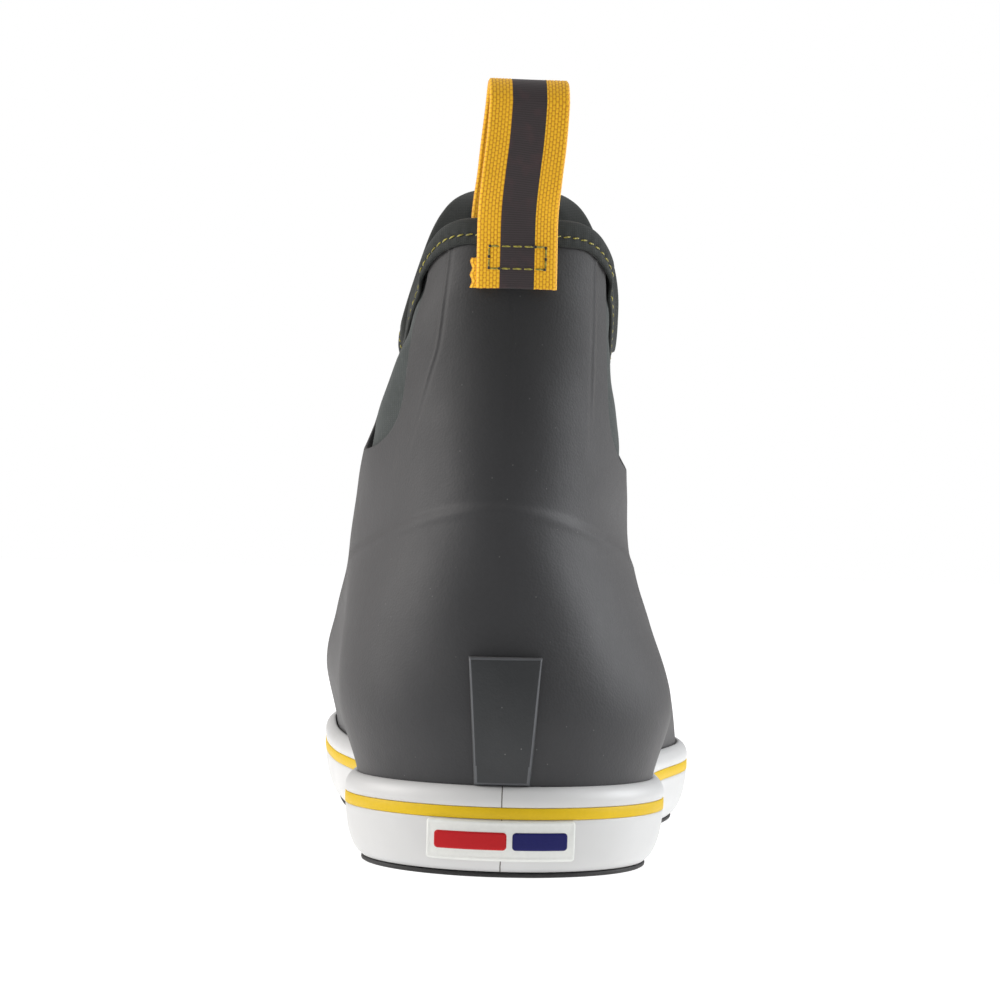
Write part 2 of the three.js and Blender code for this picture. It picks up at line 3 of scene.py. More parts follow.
import bmesh
import bpy
import numpy as np
from mathutils import Matrix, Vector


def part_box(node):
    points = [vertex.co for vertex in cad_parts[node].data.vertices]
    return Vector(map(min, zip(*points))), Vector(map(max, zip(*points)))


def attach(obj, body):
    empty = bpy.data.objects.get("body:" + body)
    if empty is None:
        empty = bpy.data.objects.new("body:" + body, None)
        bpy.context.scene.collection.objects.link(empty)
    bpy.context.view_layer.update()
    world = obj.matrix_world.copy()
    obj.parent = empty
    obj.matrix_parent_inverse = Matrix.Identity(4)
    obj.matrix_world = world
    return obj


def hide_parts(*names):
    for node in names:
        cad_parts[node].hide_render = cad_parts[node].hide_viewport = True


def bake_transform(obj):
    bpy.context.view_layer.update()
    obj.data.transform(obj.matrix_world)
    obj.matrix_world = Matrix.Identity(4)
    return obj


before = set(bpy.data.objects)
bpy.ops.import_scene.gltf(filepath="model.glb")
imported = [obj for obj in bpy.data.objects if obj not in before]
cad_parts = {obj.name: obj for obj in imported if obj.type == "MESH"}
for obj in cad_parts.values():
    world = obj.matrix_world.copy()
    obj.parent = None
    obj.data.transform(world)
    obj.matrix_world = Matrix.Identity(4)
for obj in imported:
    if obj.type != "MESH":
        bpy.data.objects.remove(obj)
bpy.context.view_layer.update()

# Sizes in millimetres, in the drawn frame: heel at y 0, heel centre at x 0.
LENGTH = 305.0
SOLE_WALL = 3.2
GAP = 0.3
UPPER_LOW = 15.4
FOXING_TOP = 22.5
RUBBER = 1.6
GUSSET_OUT = -1.9
LINING_OUT = -5.5
LINING_IN = -6.3
INSOLE_INSET = 12.1
FOAM_TOP = 19.4
WEB_WIDTH = 20.0
WEB_YARN = 0.82
WEB_FLOAT = 1.25
WEB_RIB = 0.55
WEB_DARK_SHARE = 0.213
TAU = 2 * math.pi


# ---- surface of the upper
def hermite(xs, ys, x):
    """Smooth curve through values at uneven stations; ys may hold one value or a row per station."""
    xs = np.asarray(xs, float)
    ys = np.asarray(ys, float)
    x = np.asarray(x, float)
    slopes = np.empty_like(ys)
    wide = (xs[2:] - xs[:-2]).reshape((-1,) + (1,) * (ys.ndim - 1))
    slopes[1:-1] = (ys[2:] - ys[:-2]) / wide
    slopes[0] = (ys[1] - ys[0]) / (xs[1] - xs[0])
    slopes[-1] = (ys[-1] - ys[-2]) / (xs[-1] - xs[-2])
    i = np.clip(np.searchsorted(xs, x, side="left") - 1, 0, len(xs) - 2)
    span = xs[i + 1] - xs[i]
    t = (x - xs[i]) / span
    if ys.ndim == 1:
        p, q, a, b = ys[i], ys[i + 1], slopes[i] * span, slopes[i + 1] * span
    else:
        rows = np.indices(x.shape)
        at = (i,) + tuple(rows)
        nxt = (i + 1,) + tuple(rows)
        p, q = ys[at], ys[nxt]
        span, t = span[..., None], t[..., None]
        a, b = slopes[at] * span, slopes[nxt] * span
    return p + t * (a + t * (3 * (q - p) - 2 * a - b + t * (2 * (p - q) + a + b)))


STATIONS = [0, 0.16, 0.36, 0.58, 0.78, 1]
SOLE = dict(
    lateral=[42.6, 42.4, 43.6, 58.4, 54.2, 36.6],
    medial=[39.4, 39.2, 35.2, 46.4, 51.2, 50.6],
    heel=0.15,
    toe=0.22,
)


RING_KEYS = ("at", "back", "front", "scoop", "heel", "toe", "lateral", "medial")
RING_ROWS = [
    (40, (0.5, 40), (297, 44), 0, 0.17, 0.25,
     [43.4, 43.6, 45.6, 51.2, 49.4, 36], [41.3, 41.3, 40.6, 48.6, 50.7, 47.6]),
    (62, (2.5, 62), (280, 59), 0, 0.22, 0.31,
     [38.8, 38, 39.3, 41.2, 39.2, 27.2], [40.9, 40.6, 41.7, 46.4, 44.2, 36.8]),
    (84, (6, 84), (236, 75), 2, 0.3, 0.42,
     [33.4, 32.8, 34, 33.8, 29.8, 20.8], [36.1, 37.2, 41, 41.4, 35.1, 24]),
    (104, (9.5, 104), (180, 93), 8, 0.3, 0.42,
     [29.7, 30.5, 32.3, 32, 28.8, 22.8], [30.7, 32.5, 38.8, 39.3, 33.8, 23.9]),
    (122, (12, 122), (145, 116), 19, 0.3, 0.42,
     [27.1, 28.3, 31.2, 31.2, 28.5, 24.5], [27.2, 29.8, 37.2, 37.6, 32.5, 25.5]),
    (142, (12.5, 142), (128, 146), 32, 0.3, 0.42,
     [26.1, 26.8, 27.8, 28, 28, 27], [25.2, 27.4, 33.8, 34.3, 30.2, 25.9]),
    (151.8, (13, 151.8), (123.5, 169), 38, 0.3, 0.42,
     [25.4, 26.4, 26.6, 26.7, 27.4, 27.4], [24, 24.6, 29.3, 29.8, 26.6, 24.7]),
    (161.8, (13.5, 161.8), (122, 180), 38, 0.3, 0.42,
     [25, 26, 27, 26.9, 27.5, 27.7], [23.4, 23.4, 26, 27.4, 24.8, 24.2]),
]
RINGS = [dict(zip(RING_KEYS, row)) for row in RING_ROWS]
LEVELS = [UPPER_LOW, FOXING_TOP] + [r["at"] for r in RINGS]


def across(shape, s, side):
    lateral = hermite(STATIONS, shape["lateral"], s)
    medial = hermite(STATIONS, shape["medial"], s)
    heel = np.clip(1 - s / shape["heel"], 0, 1)
    toe = np.clip(1 - (1 - s) / shape["toe"], 0, 1)
    rounding = np.sqrt(np.maximum(0, 1 - heel**2)) * np.sqrt(np.maximum(0, 1 - toe**2))
    return (lateral - medial) / 2 + side * (lateral + medial) / 2 * rounding


def along(angle):
    return (1 - np.cos(angle)) / 2


def side_of(angle):
    return np.where(np.sin(angle) >= 0, 1.0, -1.0)


def toe_lift(y):
    reach = np.maximum(0, (y - 200) / 105)
    return 9.6 * reach * reach


def sole_point(angle, inset, z):
    """Point on the sole's outline, set in from its widest edge, lifted with the toe."""
    angle, inset, z = np.broadcast_arrays(np.asarray(angle, float), inset, z)
    step = 0.002
    dx = across(SOLE, along(angle + step), side_of(angle + step)) - across(
        SOLE, along(angle - step), side_of(angle - step)
    )
    dy = (along(angle + step) - along(angle - step)) * LENGTH
    size = np.hypot(dx, dy)
    x = across(SOLE, along(angle), side_of(angle)) - dy / size * inset
    y = along(angle) * LENGTH + dx / size * inset
    return np.stack([x, y, z + toe_lift(y)], axis=-1)


def ring_point(shape, angle):
    s = along(angle)
    y = shape["back"][0] + (shape["front"][0] - shape["back"][0]) * s
    z = shape["back"][1] + (shape["front"][1] - shape["back"][1]) * s
    x = across(shape, s, side_of(angle))
    return np.stack([x, y, z - shape["scoop"] * np.abs(np.sin(angle)) ** 5], axis=-1)


def upper_face(angle, level):
    angle, level = np.broadcast_arrays(np.asarray(angle, float), np.asarray(level, float))
    inset = SOLE_WALL + GAP
    rows = [sole_point(angle, inset + GAP, UPPER_LOW), sole_point(angle, inset, FOXING_TOP)]
    rows += [ring_point(r, angle) for r in RINGS]
    return hermite(LEVELS, np.stack(rows), level)


def unit(v):
    return v / np.maximum(np.linalg.norm(v, axis=-1, keepdims=True), 1e-9)


def upper_normal(angle, level):
    level = np.asarray(level, float)
    low = np.maximum(level - 0.5, LEVELS[0])
    high = np.minimum(level + 0.5, LEVELS[-1])
    round_ = upper_face(angle + 0.01, level) - upper_face(angle - 0.01, level)
    up = upper_face(angle, high) - upper_face(angle, low)
    return unit(np.cross(round_, up))


def upper_point(angle, level, proud):
    proud = np.broadcast_to(proud, np.broadcast(angle, level).shape)[..., None]
    return upper_face(angle, level) + upper_normal(angle, level) * proud


def collar_point(angle, down, proud):
    """Point near the collar, measured down the face from its top edge."""
    angle, down, proud = np.broadcast_arrays(np.asarray(angle, float), down, proud)
    top = upper_face(angle, LEVELS[-1])
    fall = unit(upper_face(angle, LEVELS[-1] - 3) - top)
    return top + fall * down[..., None] + upper_normal(angle, LEVELS[-1]) * proud[..., None]


def angle_at(width, place):
    """Angle round the back at which place(angle) lies that far across."""
    width = np.asarray(width, float)
    low = np.full(width.shape, -0.9)
    high = np.full(width.shape, 0.9)
    for _ in range(30):
        middle = (low + high) / 2
        under = place(middle)[..., 0] < width
        low = np.where(under, middle, low)
        high = np.where(under, high, middle)
    return (low + high) / 2


def smooth(low, high, x):
    t = np.clip((x - low) / (high - low), 0, 1)
    return t * t * (3 - 2 * t)


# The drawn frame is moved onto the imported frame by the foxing's box.
ends = sole_point(np.arange(36) / 36 * TAU, 0.0, 0.0)
foxing_low = np.array(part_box("foxing_band")[0]) * 1000
SHIFT = np.array([foxing_low[0] - ends[:, 0].min(), foxing_low[1] - ends[:, 1].min(), 0.0])


def placed(points):
    return (np.asarray(points, float) + SHIFT) / 1000


# ---- mesh helpers
def in_scene(name, data):
    obj = bpy.data.objects.new(name, data)
    bpy.context.scene.collection.objects.link(obj)
    return obj


def new_object(name, points, faces, uv=None):
    mesh = bpy.data.meshes.new(name)
    mesh.from_pydata(placed(points).tolist(), [], [tuple(f) for f in faces])
    mesh.validate()
    if uv is not None:
        layer = mesh.uv_layers.new(name="UVMap")
        index = np.empty(len(mesh.loops), int)
        mesh.loops.foreach_get("vertex_index", index)
        layer.data.foreach_set("uv", np.asarray(uv, np.float32)[index].ravel())
    mesh.polygons.foreach_set("use_smooth", [True] * len(mesh.polygons))
    mesh.update()
    return in_scene(name, mesh)


def used_object(name, points, faces, uv=None):
    """Mesh object that keeps only the points its faces use."""
    used = np.unique(faces)
    renumber = np.full(len(points), -1)
    renumber[used] = np.arange(len(used))
    return new_object(name, points[used], renumber[faces], None if uv is None else uv[used])


def weld(obj, distance):
    work = bmesh.new()
    work.from_mesh(obj.data)
    bmesh.ops.remove_doubles(work, verts=work.verts, dist=distance)
    bmesh.ops.dissolve_degenerate(work, dist=1e-7, edges=work.edges)
    work.to_mesh(obj.data)
    work.free()
    return obj


def run_length(track):
    return np.concatenate([[0], np.cumsum(np.linalg.norm(np.diff(track, axis=0), axis=1))])


def grid_faces(columns, rows, closed_i, closed_j):
    """Quads of a grid of points numbered i * rows + j."""
    i = np.arange(columns if closed_i else columns - 1)
    j = np.arange(rows if closed_j else rows - 1)
    i, j = np.meshgrid(i, j, indexing="ij")
    i, j = i.ravel(), j.ravel()
    k, m = (i + 1) % columns, (j + 1) % rows
    return np.stack([i * rows + j, k * rows + j, k * rows + m, i * rows + m], axis=1)


def edge_loops(faces):
    """Directed edges that only one face uses."""
    a = faces[:, [0, 1, 2, 3]].ravel()
    b = faces[:, [1, 2, 3, 0]].ravel()
    big = int(faces.max()) + 1
    forward = a.astype(np.int64) * big + b
    backward = b.astype(np.int64) * big + a
    alone = ~np.isin(forward, backward)
    return np.stack([a[alone], b[alone]], axis=1)


def sheet_solid(name, outer, inner, faces, uv=None):
    """Closed solid between two copies of one quad sheet."""
    count = len(outer)
    rim = edge_loops(faces)
    walls = np.stack([rim[:, 1], rim[:, 0], rim[:, 0] + count, rim[:, 1] + count], axis=1)
    everything = np.concatenate([faces, faces[:, ::-1] + count, walls])
    both = None if uv is None else np.concatenate([uv, uv])
    return used_object(name, np.concatenate([outer, inner]), everything, both)


def band_solid(name, points):
    """Solid swept round the boot from a closed section: points[i, k]."""
    n, m = points.shape[:2]
    return new_object(name, points.reshape(-1, 3), grid_faces(n, m, True, True))


def outline_distance(points, line):
    """Distance of 2-D points from a closed outline, and whether each is inside it."""
    best = np.full(len(points), 1e9)
    inside = np.zeros(len(points), bool)
    for p, q in zip(line, np.roll(line, -1, axis=0)):
        d = q - p
        t = np.clip(((points - p) @ d) / (d @ d), 0, 1)
        best = np.minimum(best, np.hypot(*(points - (p + t[:, None] * d)).T))
        crosses = (p[1] > points[:, 1]) != (q[1] > points[:, 1])
        safe = d[1] if abs(d[1]) > 1e-9 else 1e-9
        inside ^= crosses & (points[:, 0] < p[0] + (points[:, 1] - p[1]) / safe * d[0])
    return best, inside


def rounded_line(corners):
    """Corner cutting of a closed outline."""
    line = np.asarray(corners, float)
    for _ in range(3):
        nxt = np.roll(line, -1, axis=0)
        line = np.stack([line * 0.75 + nxt * 0.25, line * 0.25 + nxt * 0.75], axis=1).reshape(-1, 2)
    return line


# ---- materials
class Graph:
    """Short names for building a node material."""

    def __init__(self, name):
        self.material = bpy.data.materials.new(name)
        self.material.use_nodes = True
        self.tree = self.material.node_tree
        self.shader = self.tree.nodes["Principled BSDF"]
        self.place = self.add("ShaderNodeTexCoord").outputs["Object"]

    def add(self, kind, **settings):
        node = self.tree.nodes.new(kind)
        for key, value in settings.items():
            setattr(node, key, value)
        return node

    def link(self, source, target):
        self.tree.links.new(source, target)

    def split(self, source):
        """The three parts of a position."""
        node = self.add("ShaderNodeSeparateXYZ")
        self.link(source, node.inputs[0])
        return node.outputs

    def noise(self, scale, detail=4.0, rough=0.55):
        node = self.add("ShaderNodeTexNoise")
        node.inputs["Scale"].default_value = scale
        node.inputs["Detail"].default_value = detail
        node.inputs["Roughness"].default_value = rough
        self.link(self.place, node.inputs["Vector"])
        return node.outputs["Fac"]

    def cells(self, scale):
        node = self.add("ShaderNodeTexVoronoi")
        node.inputs["Scale"].default_value = scale
        self.link(self.place, node.inputs["Vector"])
        return node.outputs["Distance"]

    def ramp(self, source, stops):
        node = self.add("ShaderNodeValToRGB")
        ramp = node.color_ramp
        while len(ramp.elements) < len(stops):
            ramp.elements.new(0.5)
        for element, (at, value) in zip(ramp.elements, stops):
            element.position = at
            rgb = value if isinstance(value, (tuple, list)) else (value,) * 3
            element.color = (*rgb, 1)
        self.link(source, node.inputs["Fac"])
        return node.outputs["Color"]

    def math(self, operation, a, b=None):
        node = self.add("ShaderNodeMath", operation=operation)
        for socket, value in zip(node.inputs, (a, b)):
            if value is None:
                continue
            if isinstance(value, (int, float)):
                socket.default_value = value
            else:
                self.link(value, socket)
        return node.outputs[0]

    def mix(self, fac, a, b, blend="MIX"):
        node = self.add("ShaderNodeMix", data_type="RGBA", blend_type=blend)
        for socket, value in ((node.inputs[0], fac), (node.inputs[6], a), (node.inputs[7], b)):
            if isinstance(value, (int, float)):
                socket.default_value = value
            elif isinstance(value, (tuple, list)):
                socket.default_value = (*value, 1)
            else:
                self.link(value, socket)
        return node.outputs[2]

    def bump(self, height, distance, under=None):
        node = self.add("ShaderNodeBump")
        node.inputs["Strength"].default_value = 1.0
        node.inputs["Distance"].default_value = distance
        self.link(height, node.inputs["Height"])
        if under is not None:
            self.link(under, node.inputs["Normal"])
        return node.outputs["Normal"]

    def finish(self, color, rough, normal=None, **sockets):
        self.link(color, self.shader.inputs["Base Color"])
        if isinstance(rough, (int, float)):
            self.shader.inputs["Roughness"].default_value = rough
        else:
            self.link(rough, self.shader.inputs["Roughness"])
        if normal is not None:
            self.link(normal, self.shader.inputs["Normal"])
        for key, value in sockets.items():
            self.shader.inputs[key.replace("_", " ")].default_value = value
        return self.material


def shade(color, amount):
    return tuple(c * amount for c in color)


def rubber(name, color, low=0.42, high=0.6, grain=0.00003, dust=0.0, specular=0.5, sheen_and_painted_shade=0.0):
    """Smooth moulded rubber: slow mottling, a fine skin, and an optional pale sheen that also turns on painted
    shade darkening the base colour toward the collar.
    """
    g = Graph(name)
    slow = g.noise(28, 5)
    fine = g.noise(900, 3)
    base = g.ramp(slow, [(0.3, shade(color, 0.93)), (0.7, shade(color, 1.08))])
    base = g.mix(g.ramp(fine, [(0.35, 0.0), (0.75, 0.14)]), base, shade(color, 1.35))
    if dust:
        specks = g.ramp(g.cells(260), [(0.0, dust), (0.06, 0.0)])
        base = g.mix(specks, base, (0.55, 0.54, 0.52))
    rough = g.ramp(g.noise(60, 4), [(0.3, low), (0.7, high)])
    skin = g.bump(g.cells(1500), grain)
    skin = g.bump(g.noise(140, 3), grain * 4, under=skin)
    if sheen_and_painted_shade:
        # Painted shade: the base colour is multiplied down to a quarter toward the collar, standing in for
        # light that falls off up the shaft.
        height = g.math("MULTIPLY", g.split(g.place)[2], 5.0)
        base = g.mix(1.0, base, g.ramp(height, [(0.45, 1.0), (0.65, 0.55), (0.85, 0.25)]), "MULTIPLY")
        g.shader.inputs["Sheen Weight"].default_value = sheen_and_painted_shade
        g.shader.inputs["Sheen Roughness"].default_value = 0.5
        g.shader.inputs["Sheen Tint"].default_value = (1.0, 0.95, 0.92, 1)
    g.finish(base, rough, skin, Specular_IOR_Level=specular)
    return g.material


def knit(name, color, scale, tint=(0.16, 0.17, 0.165)):
    """Fine knitted cloth from two crossed wave sets over uneven yarn."""
    g = Graph(name)
    waves = []
    for direction in ("X", "Z"):
        node = g.add("ShaderNodeTexWave", bands_direction=direction, wave_profile="SIN")
        node.inputs["Scale"].default_value = scale
        node.inputs["Distortion"].default_value = 1.2
        node.inputs["Detail"].default_value = 1.0
        g.link(g.place, node.inputs["Vector"])
        waves.append(node.outputs["Fac"])
    weave = g.math("MULTIPLY", waves[0], waves[1])
    fuzz = g.noise(700, 4)
    base = g.ramp(g.noise(55, 4), [(0.3, shade(color, 0.85)), (0.7, shade(color, 1.18))])
    base = g.mix(g.ramp(weave, [(0.1, 0.0), (0.8, 0.4)]), base, shade(color, 1.6))
    base = g.mix(g.ramp(fuzz, [(0.55, 0.0), (0.8, 0.22)]), base, tint)
    normal = g.bump(weave, 0.00005)
    normal = g.bump(fuzz, 0.00004, under=normal)
    return g.finish(base, 0.9, normal, Sheen_Weight=0.08, Sheen_Roughness=0.5)


def foam(name, color, scale=900):
    g = Graph(name)
    cells = g.cells(scale)
    base = g.mix(g.ramp(cells, [(0.2, 0.0), (0.7, 0.5)]), color, shade(color, 1.5))
    base = g.mix(g.ramp(g.noise(40), [(0.35, 0.0), (0.7, 0.3)]), base, shade(color, 0.7))
    return g.finish(base, 0.92, g.bump(cells, 0.0002))


def thread(name, color):
    """Twisted sewing thread: slanted plies along the stitch."""
    g = Graph(name)
    node = g.add("ShaderNodeTexWave", bands_direction="DIAGONAL")
    node.inputs["Scale"].default_value = 420
    g.link(g.place, node.inputs["Vector"])
    ply = node.outputs["Fac"]
    base = g.mix(ply, shade(color, 0.55), shade(color, 1.15))
    base = g.mix(g.ramp(g.noise(300), [(0.4, 0.0), (0.7, 0.35)]), base, shade(color, 0.6))
    return g.finish(base, 0.7, g.bump(ply, 0.00012), Sheen_Weight=0.3)


def webbing_material():
    """Coarse woven webbing: rows of short yellow floats, with painted shade in the gaps and painted highlight
    on the float tops, and a smooth dark centre stripe.
    """
    g = Graph("webbing_weave")
    u, v = g.split(g.add("ShaderNodeTexCoord").outputs["UV"])[:2]
    column = g.math("FLOOR", g.math("MULTIPLY", u, WEB_WIDTH / WEB_YARN))
    shift = g.math("MULTIPLY", g.math("MODULO", column, 2.0), 0.5)
    over = g.math("ABSOLUTE", g.math("SINE", g.math("MULTIPLY", u, math.pi * WEB_WIDTH / WEB_YARN)))
    run = g.math("MULTIPLY", v, 1 / WEB_FLOAT)
    grains = g.math("ABSOLUTE", g.math("SINE", g.math("MULTIPLY", g.math("ADD", run, shift), math.pi)))
    height = g.math("MULTIPLY", over, g.math("POWER", grains, 0.6))
    uneven = g.noise(180, 4)
    # Painted shade and highlight: the weave height darkens the yarn gaps to orange and lightens the float tops
    # to bright yellow.
    stops = [(0.0, (0.42, 0.15, 0.003)), (0.4, (0.90, 0.44, 0.007)), (0.9, (0.98, 0.58, 0.012))]
    yellow = g.ramp(height, stops)
    yellow = g.mix(g.ramp(uneven, [(0.35, 0.0), (0.7, 0.3)]), yellow, (0.95, 0.50, 0.010))
    ribs = g.math("ABSOLUTE", g.math("SINE", g.math("MULTIPLY", v, math.pi / WEB_RIB)))
    dark = g.ramp(ribs, [(0.0, (0.024, 0.017, 0.018)), (1.0, (0.042, 0.031, 0.033))])
    dark = g.mix(g.ramp(g.noise(260), [(0.5, 0.0), (0.75, 0.4)]), dark, (0.08, 0.035, 0.038))
    off = g.math("ABSOLUTE", g.math("SUBTRACT", u, 0.5))
    stripe = g.math("LESS_THAN", off, WEB_DARK_SHARE)
    color = g.mix(stripe, yellow, dark)
    normal = g.bump(g.noise(1300, 3), 0.00005)
    return g.finish(color, 0.72, normal, Sheen_Weight=0.08, Sheen_Roughness=0.45)


def foxing_material():
    """Off-white rubber wall with a butt seam at the back and faint handling marks."""
    g = Graph("foxing_white_rubber")
    slow = g.noise(18, 5)
    base = g.ramp(slow, [(0.3, (0.60, 0.60, 0.595)), (0.7, (0.68, 0.68, 0.675))])
    marks = g.ramp(g.noise(75, 7, 0.7), [(0.62, 0.0), (0.8, 0.22)])
    base = g.mix(marks, base, (0.50, 0.49, 0.46))
    x, y = g.split(g.place)[:2]
    seam_x = float(SHIFT[0]) / 1000
    wander = g.math("MULTIPLY", g.math("SUBTRACT", g.noise(120), 0.5), 0.0006)
    off = g.math("ABSOLUTE", g.math("SUBTRACT", g.math("ADD", x, wander), seam_x))
    at_back = g.math("LESS_THAN", y, float(SHIFT[1] + 40) / 1000)
    line = g.math("MULTIPLY", g.math("LESS_THAN", off, 0.00013), at_back)
    base = g.mix(line, base, (0.10, 0.09, 0.08))
    rough = g.ramp(g.noise(50, 4), [(0.3, 0.38), (0.7, 0.52)])
    groove = g.math("SUBTRACT", 1.0, line)
    normal = g.bump(groove, 0.0003)
    normal = g.bump(g.noise(320, 4), 0.00004, under=normal)
    return g.finish(base, rough, normal, Specular_IOR_Level=0.5)


def backing_material():
    g = Graph("plain_backing_cloth")
    weave = g.math("MULTIPLY", g.cells(800), g.noise(300))
    color = g.ramp(weave, [(0.05, (0.2, 0.18, 0.15)), (0.4, (0.34, 0.31, 0.26))])
    return g.finish(color, 0.9, g.bump(weave, 0.0001))


MATERIALS = {
    # The upper's sheen value also turns on the painted shade toward the collar.
    "upper": rubber(
        "upper_rubber_charcoal", (0.036, 0.0364, 0.0385), 0.53, 0.6, dust=0.2, specular=0.3, sheen_and_painted_shade=0.15
    ),
    "kick": rubber("kick_tab_rubber", (0.018, 0.020, 0.022), 0.5, 0.62, dust=0.3, sheen_and_painted_shade=0.1),
    # Painted highlight: a lighter rubber for the kick tab's bevels, where light catches them; its specks are
    # dust.
    "kick_edge": rubber("kick_tab_edge_painted_highlight", (0.085, 0.089, 0.096), 0.45, 0.55, dust=0.5),
    "outsole": rubber("outsole_rubber", (0.022, 0.021, 0.021), 0.6, 0.8, 0.00006),
    "foxing": foxing_material(),
    "stripe": rubber("stripe_yellow_rubber", (0.70, 0.465, 0.006), 0.5, 0.6, specular=0.3),
    "label": rubber("label_white_rubber", (0.72, 0.73, 0.70), 0.4, 0.5),
    "navy": rubber("label_navy_rubber", (0.006, 0.007, 0.095), 0.45, 0.55, specular=0.2),
    "red": rubber("label_red_rubber", (0.46, 0.006, 0.010), 0.45, 0.55, specular=0.2),
    "midsole": foam("midsole_cellular_rubber", (0.49, 0.47, 0.42), 700),
    "board": backing_material(),
    "neoprene": foam("neoprene_foam", (0.03, 0.033, 0.036)),
    "gusset": knit("gusset_stretch_knit", (0.040, 0.047, 0.045), 620),
    "binding": knit("binding_knit_tape", (0.013, 0.0155, 0.0135), 640, tint=(0.06, 0.065, 0.06)),
    "lining": knit("lining_knit", (0.030, 0.033, 0.032), 560),
    "insole_foam": foam("insole_foam_grey", (0.075, 0.085, 0.095)),
    "insole_cloth": knit("insole_top_cloth", (0.035, 0.04, 0.048), 600),
    "webbing": webbing_material(),
    "thread": thread("thread_olive_yellow", (0.36, 0.31, 0.03)),
    "hole": thread("needle_hole_shadow", (0.02, 0.016, 0.01)),
}


def dress(obj, key, slot, body="boot", *nodes):
    """Material, body and the CAD nodes a piece stands for; the slot argument is not used."""
    if not obj.data.materials:
        obj.data.materials.append(MATERIALS[key])
    if nodes:
        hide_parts(*nodes)
    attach(obj, body)
    return obj


# ---- gusset windows
def window_outline(low):
    corners = [
        (46, low + 0.6), (57, low - 0.6), (67, low + 0.6), (72.5, low + 7), (78, low + 17), (93, 155),
        (104, 210), (26, 210), (31.5, 153), (33.5, low + 17), (36.5, low + 6),
    ]
    return rounded_line(corners)


WINDOWS = {1: window_outline(102.0), -1: window_outline(105.6)}


def window_depth(angle, level):
    """Signed distance in the side view from the nearest gusset window: below 0 inside it."""
    points = upper_face(angle, level)
    flat = points.reshape(-1, 3)
    sides = np.broadcast_to(side_of(angle), points.shape[:-1]).ravel()
    out = np.full(len(flat), 99.0)
    near = (flat[:, 1] < 120) & (flat[:, 2] > 85)
    for side, line in WINDOWS.items():
        pick = near & (sides == side)
        distance, inside = outline_distance(flat[pick][:, 1:], line)
        out[pick] = np.where(inside, -distance, distance)
    return out.reshape(points.shape[:-1])


def slide_to(angle, level, target):
    """Moves points over the surface until their window depth is target; also gives the outward way."""
    for _ in range(4):
        depth = window_depth(angle, level)
        turn, rise = 0.004, 0.3
        by_angle = (window_depth(angle + turn, level) - window_depth(angle - turn, level)) / (2 * turn)
        by_level = (window_depth(angle, level + rise) - window_depth(angle, level - rise)) / (2 * rise)
        side = (upper_face(angle + turn, level) - upper_face(angle - turn, level)) / (2 * turn)
        up = (upper_face(angle, level + rise) - upper_face(angle, level - rise)) / (2 * rise)
        wa = by_angle / np.sum(side**2, axis=-1)
        wl = by_level / np.sum(up**2, axis=-1)
        size = np.maximum(by_angle * wa + by_level * wl, 1e-6)
        angle = angle + (target - depth) * wa / size
        level = level + (target - depth) * wl / size
    outward = unit(side * wa[:, None] + up * wl[:, None])
    return angle, level, outward


# ---- relief on the rubber
STAY_LEFT = [-27.0, -23.4, -21.6, -20.2, -18.6, -17.2, -16.1, -15.0]


def shell_relief(angle, level):
    """Small rises on the rubber: stay ridges, the counter's edge, and a slow hand-made unevenness."""
    point = upper_face(angle, level)
    x, y, z = point[..., 0], point[..., 1], point[..., 2]
    back = smooth(60, 30, y)
    left = hermite([100, 112, 119, 124.5, 130.4, 142, 153.5, 175], STAY_LEFT, np.clip(z, 100, 175))
    right = 20.6
    fade = smooth(104, 126, z) * back
    ridge = np.exp(-(((x - left) / 0.5) ** 2)) + np.exp(-(((x - right) / 0.5) ** 2))
    step = smooth(0.0, 1.6, x - left) * smooth(0.0, 1.6, right - x)
    relief = 0.34 * ridge * fade + 0.35 * step * smooth(100, 112, z) * back
    counter = 90 - 0.0095 * (x + 3) ** 2
    relief = relief + 0.55 * smooth(2.2, -1.6, z - counter) * smooth(110, 70, y)
    relief = relief + 0.28 * np.exp(-(((z - counter) / 1.5) ** 2)) * smooth(75, 40, y)
    seam = np.exp(-((x / 0.8) ** 2)) * smooth(96, 110, z) * smooth(40, 25, y)
    wave = 0.10 * np.sin(x * 0.21 + z * 0.17) * np.sin(y * 0.05 + 1.3)
    return relief - 0.10 * seam + wave


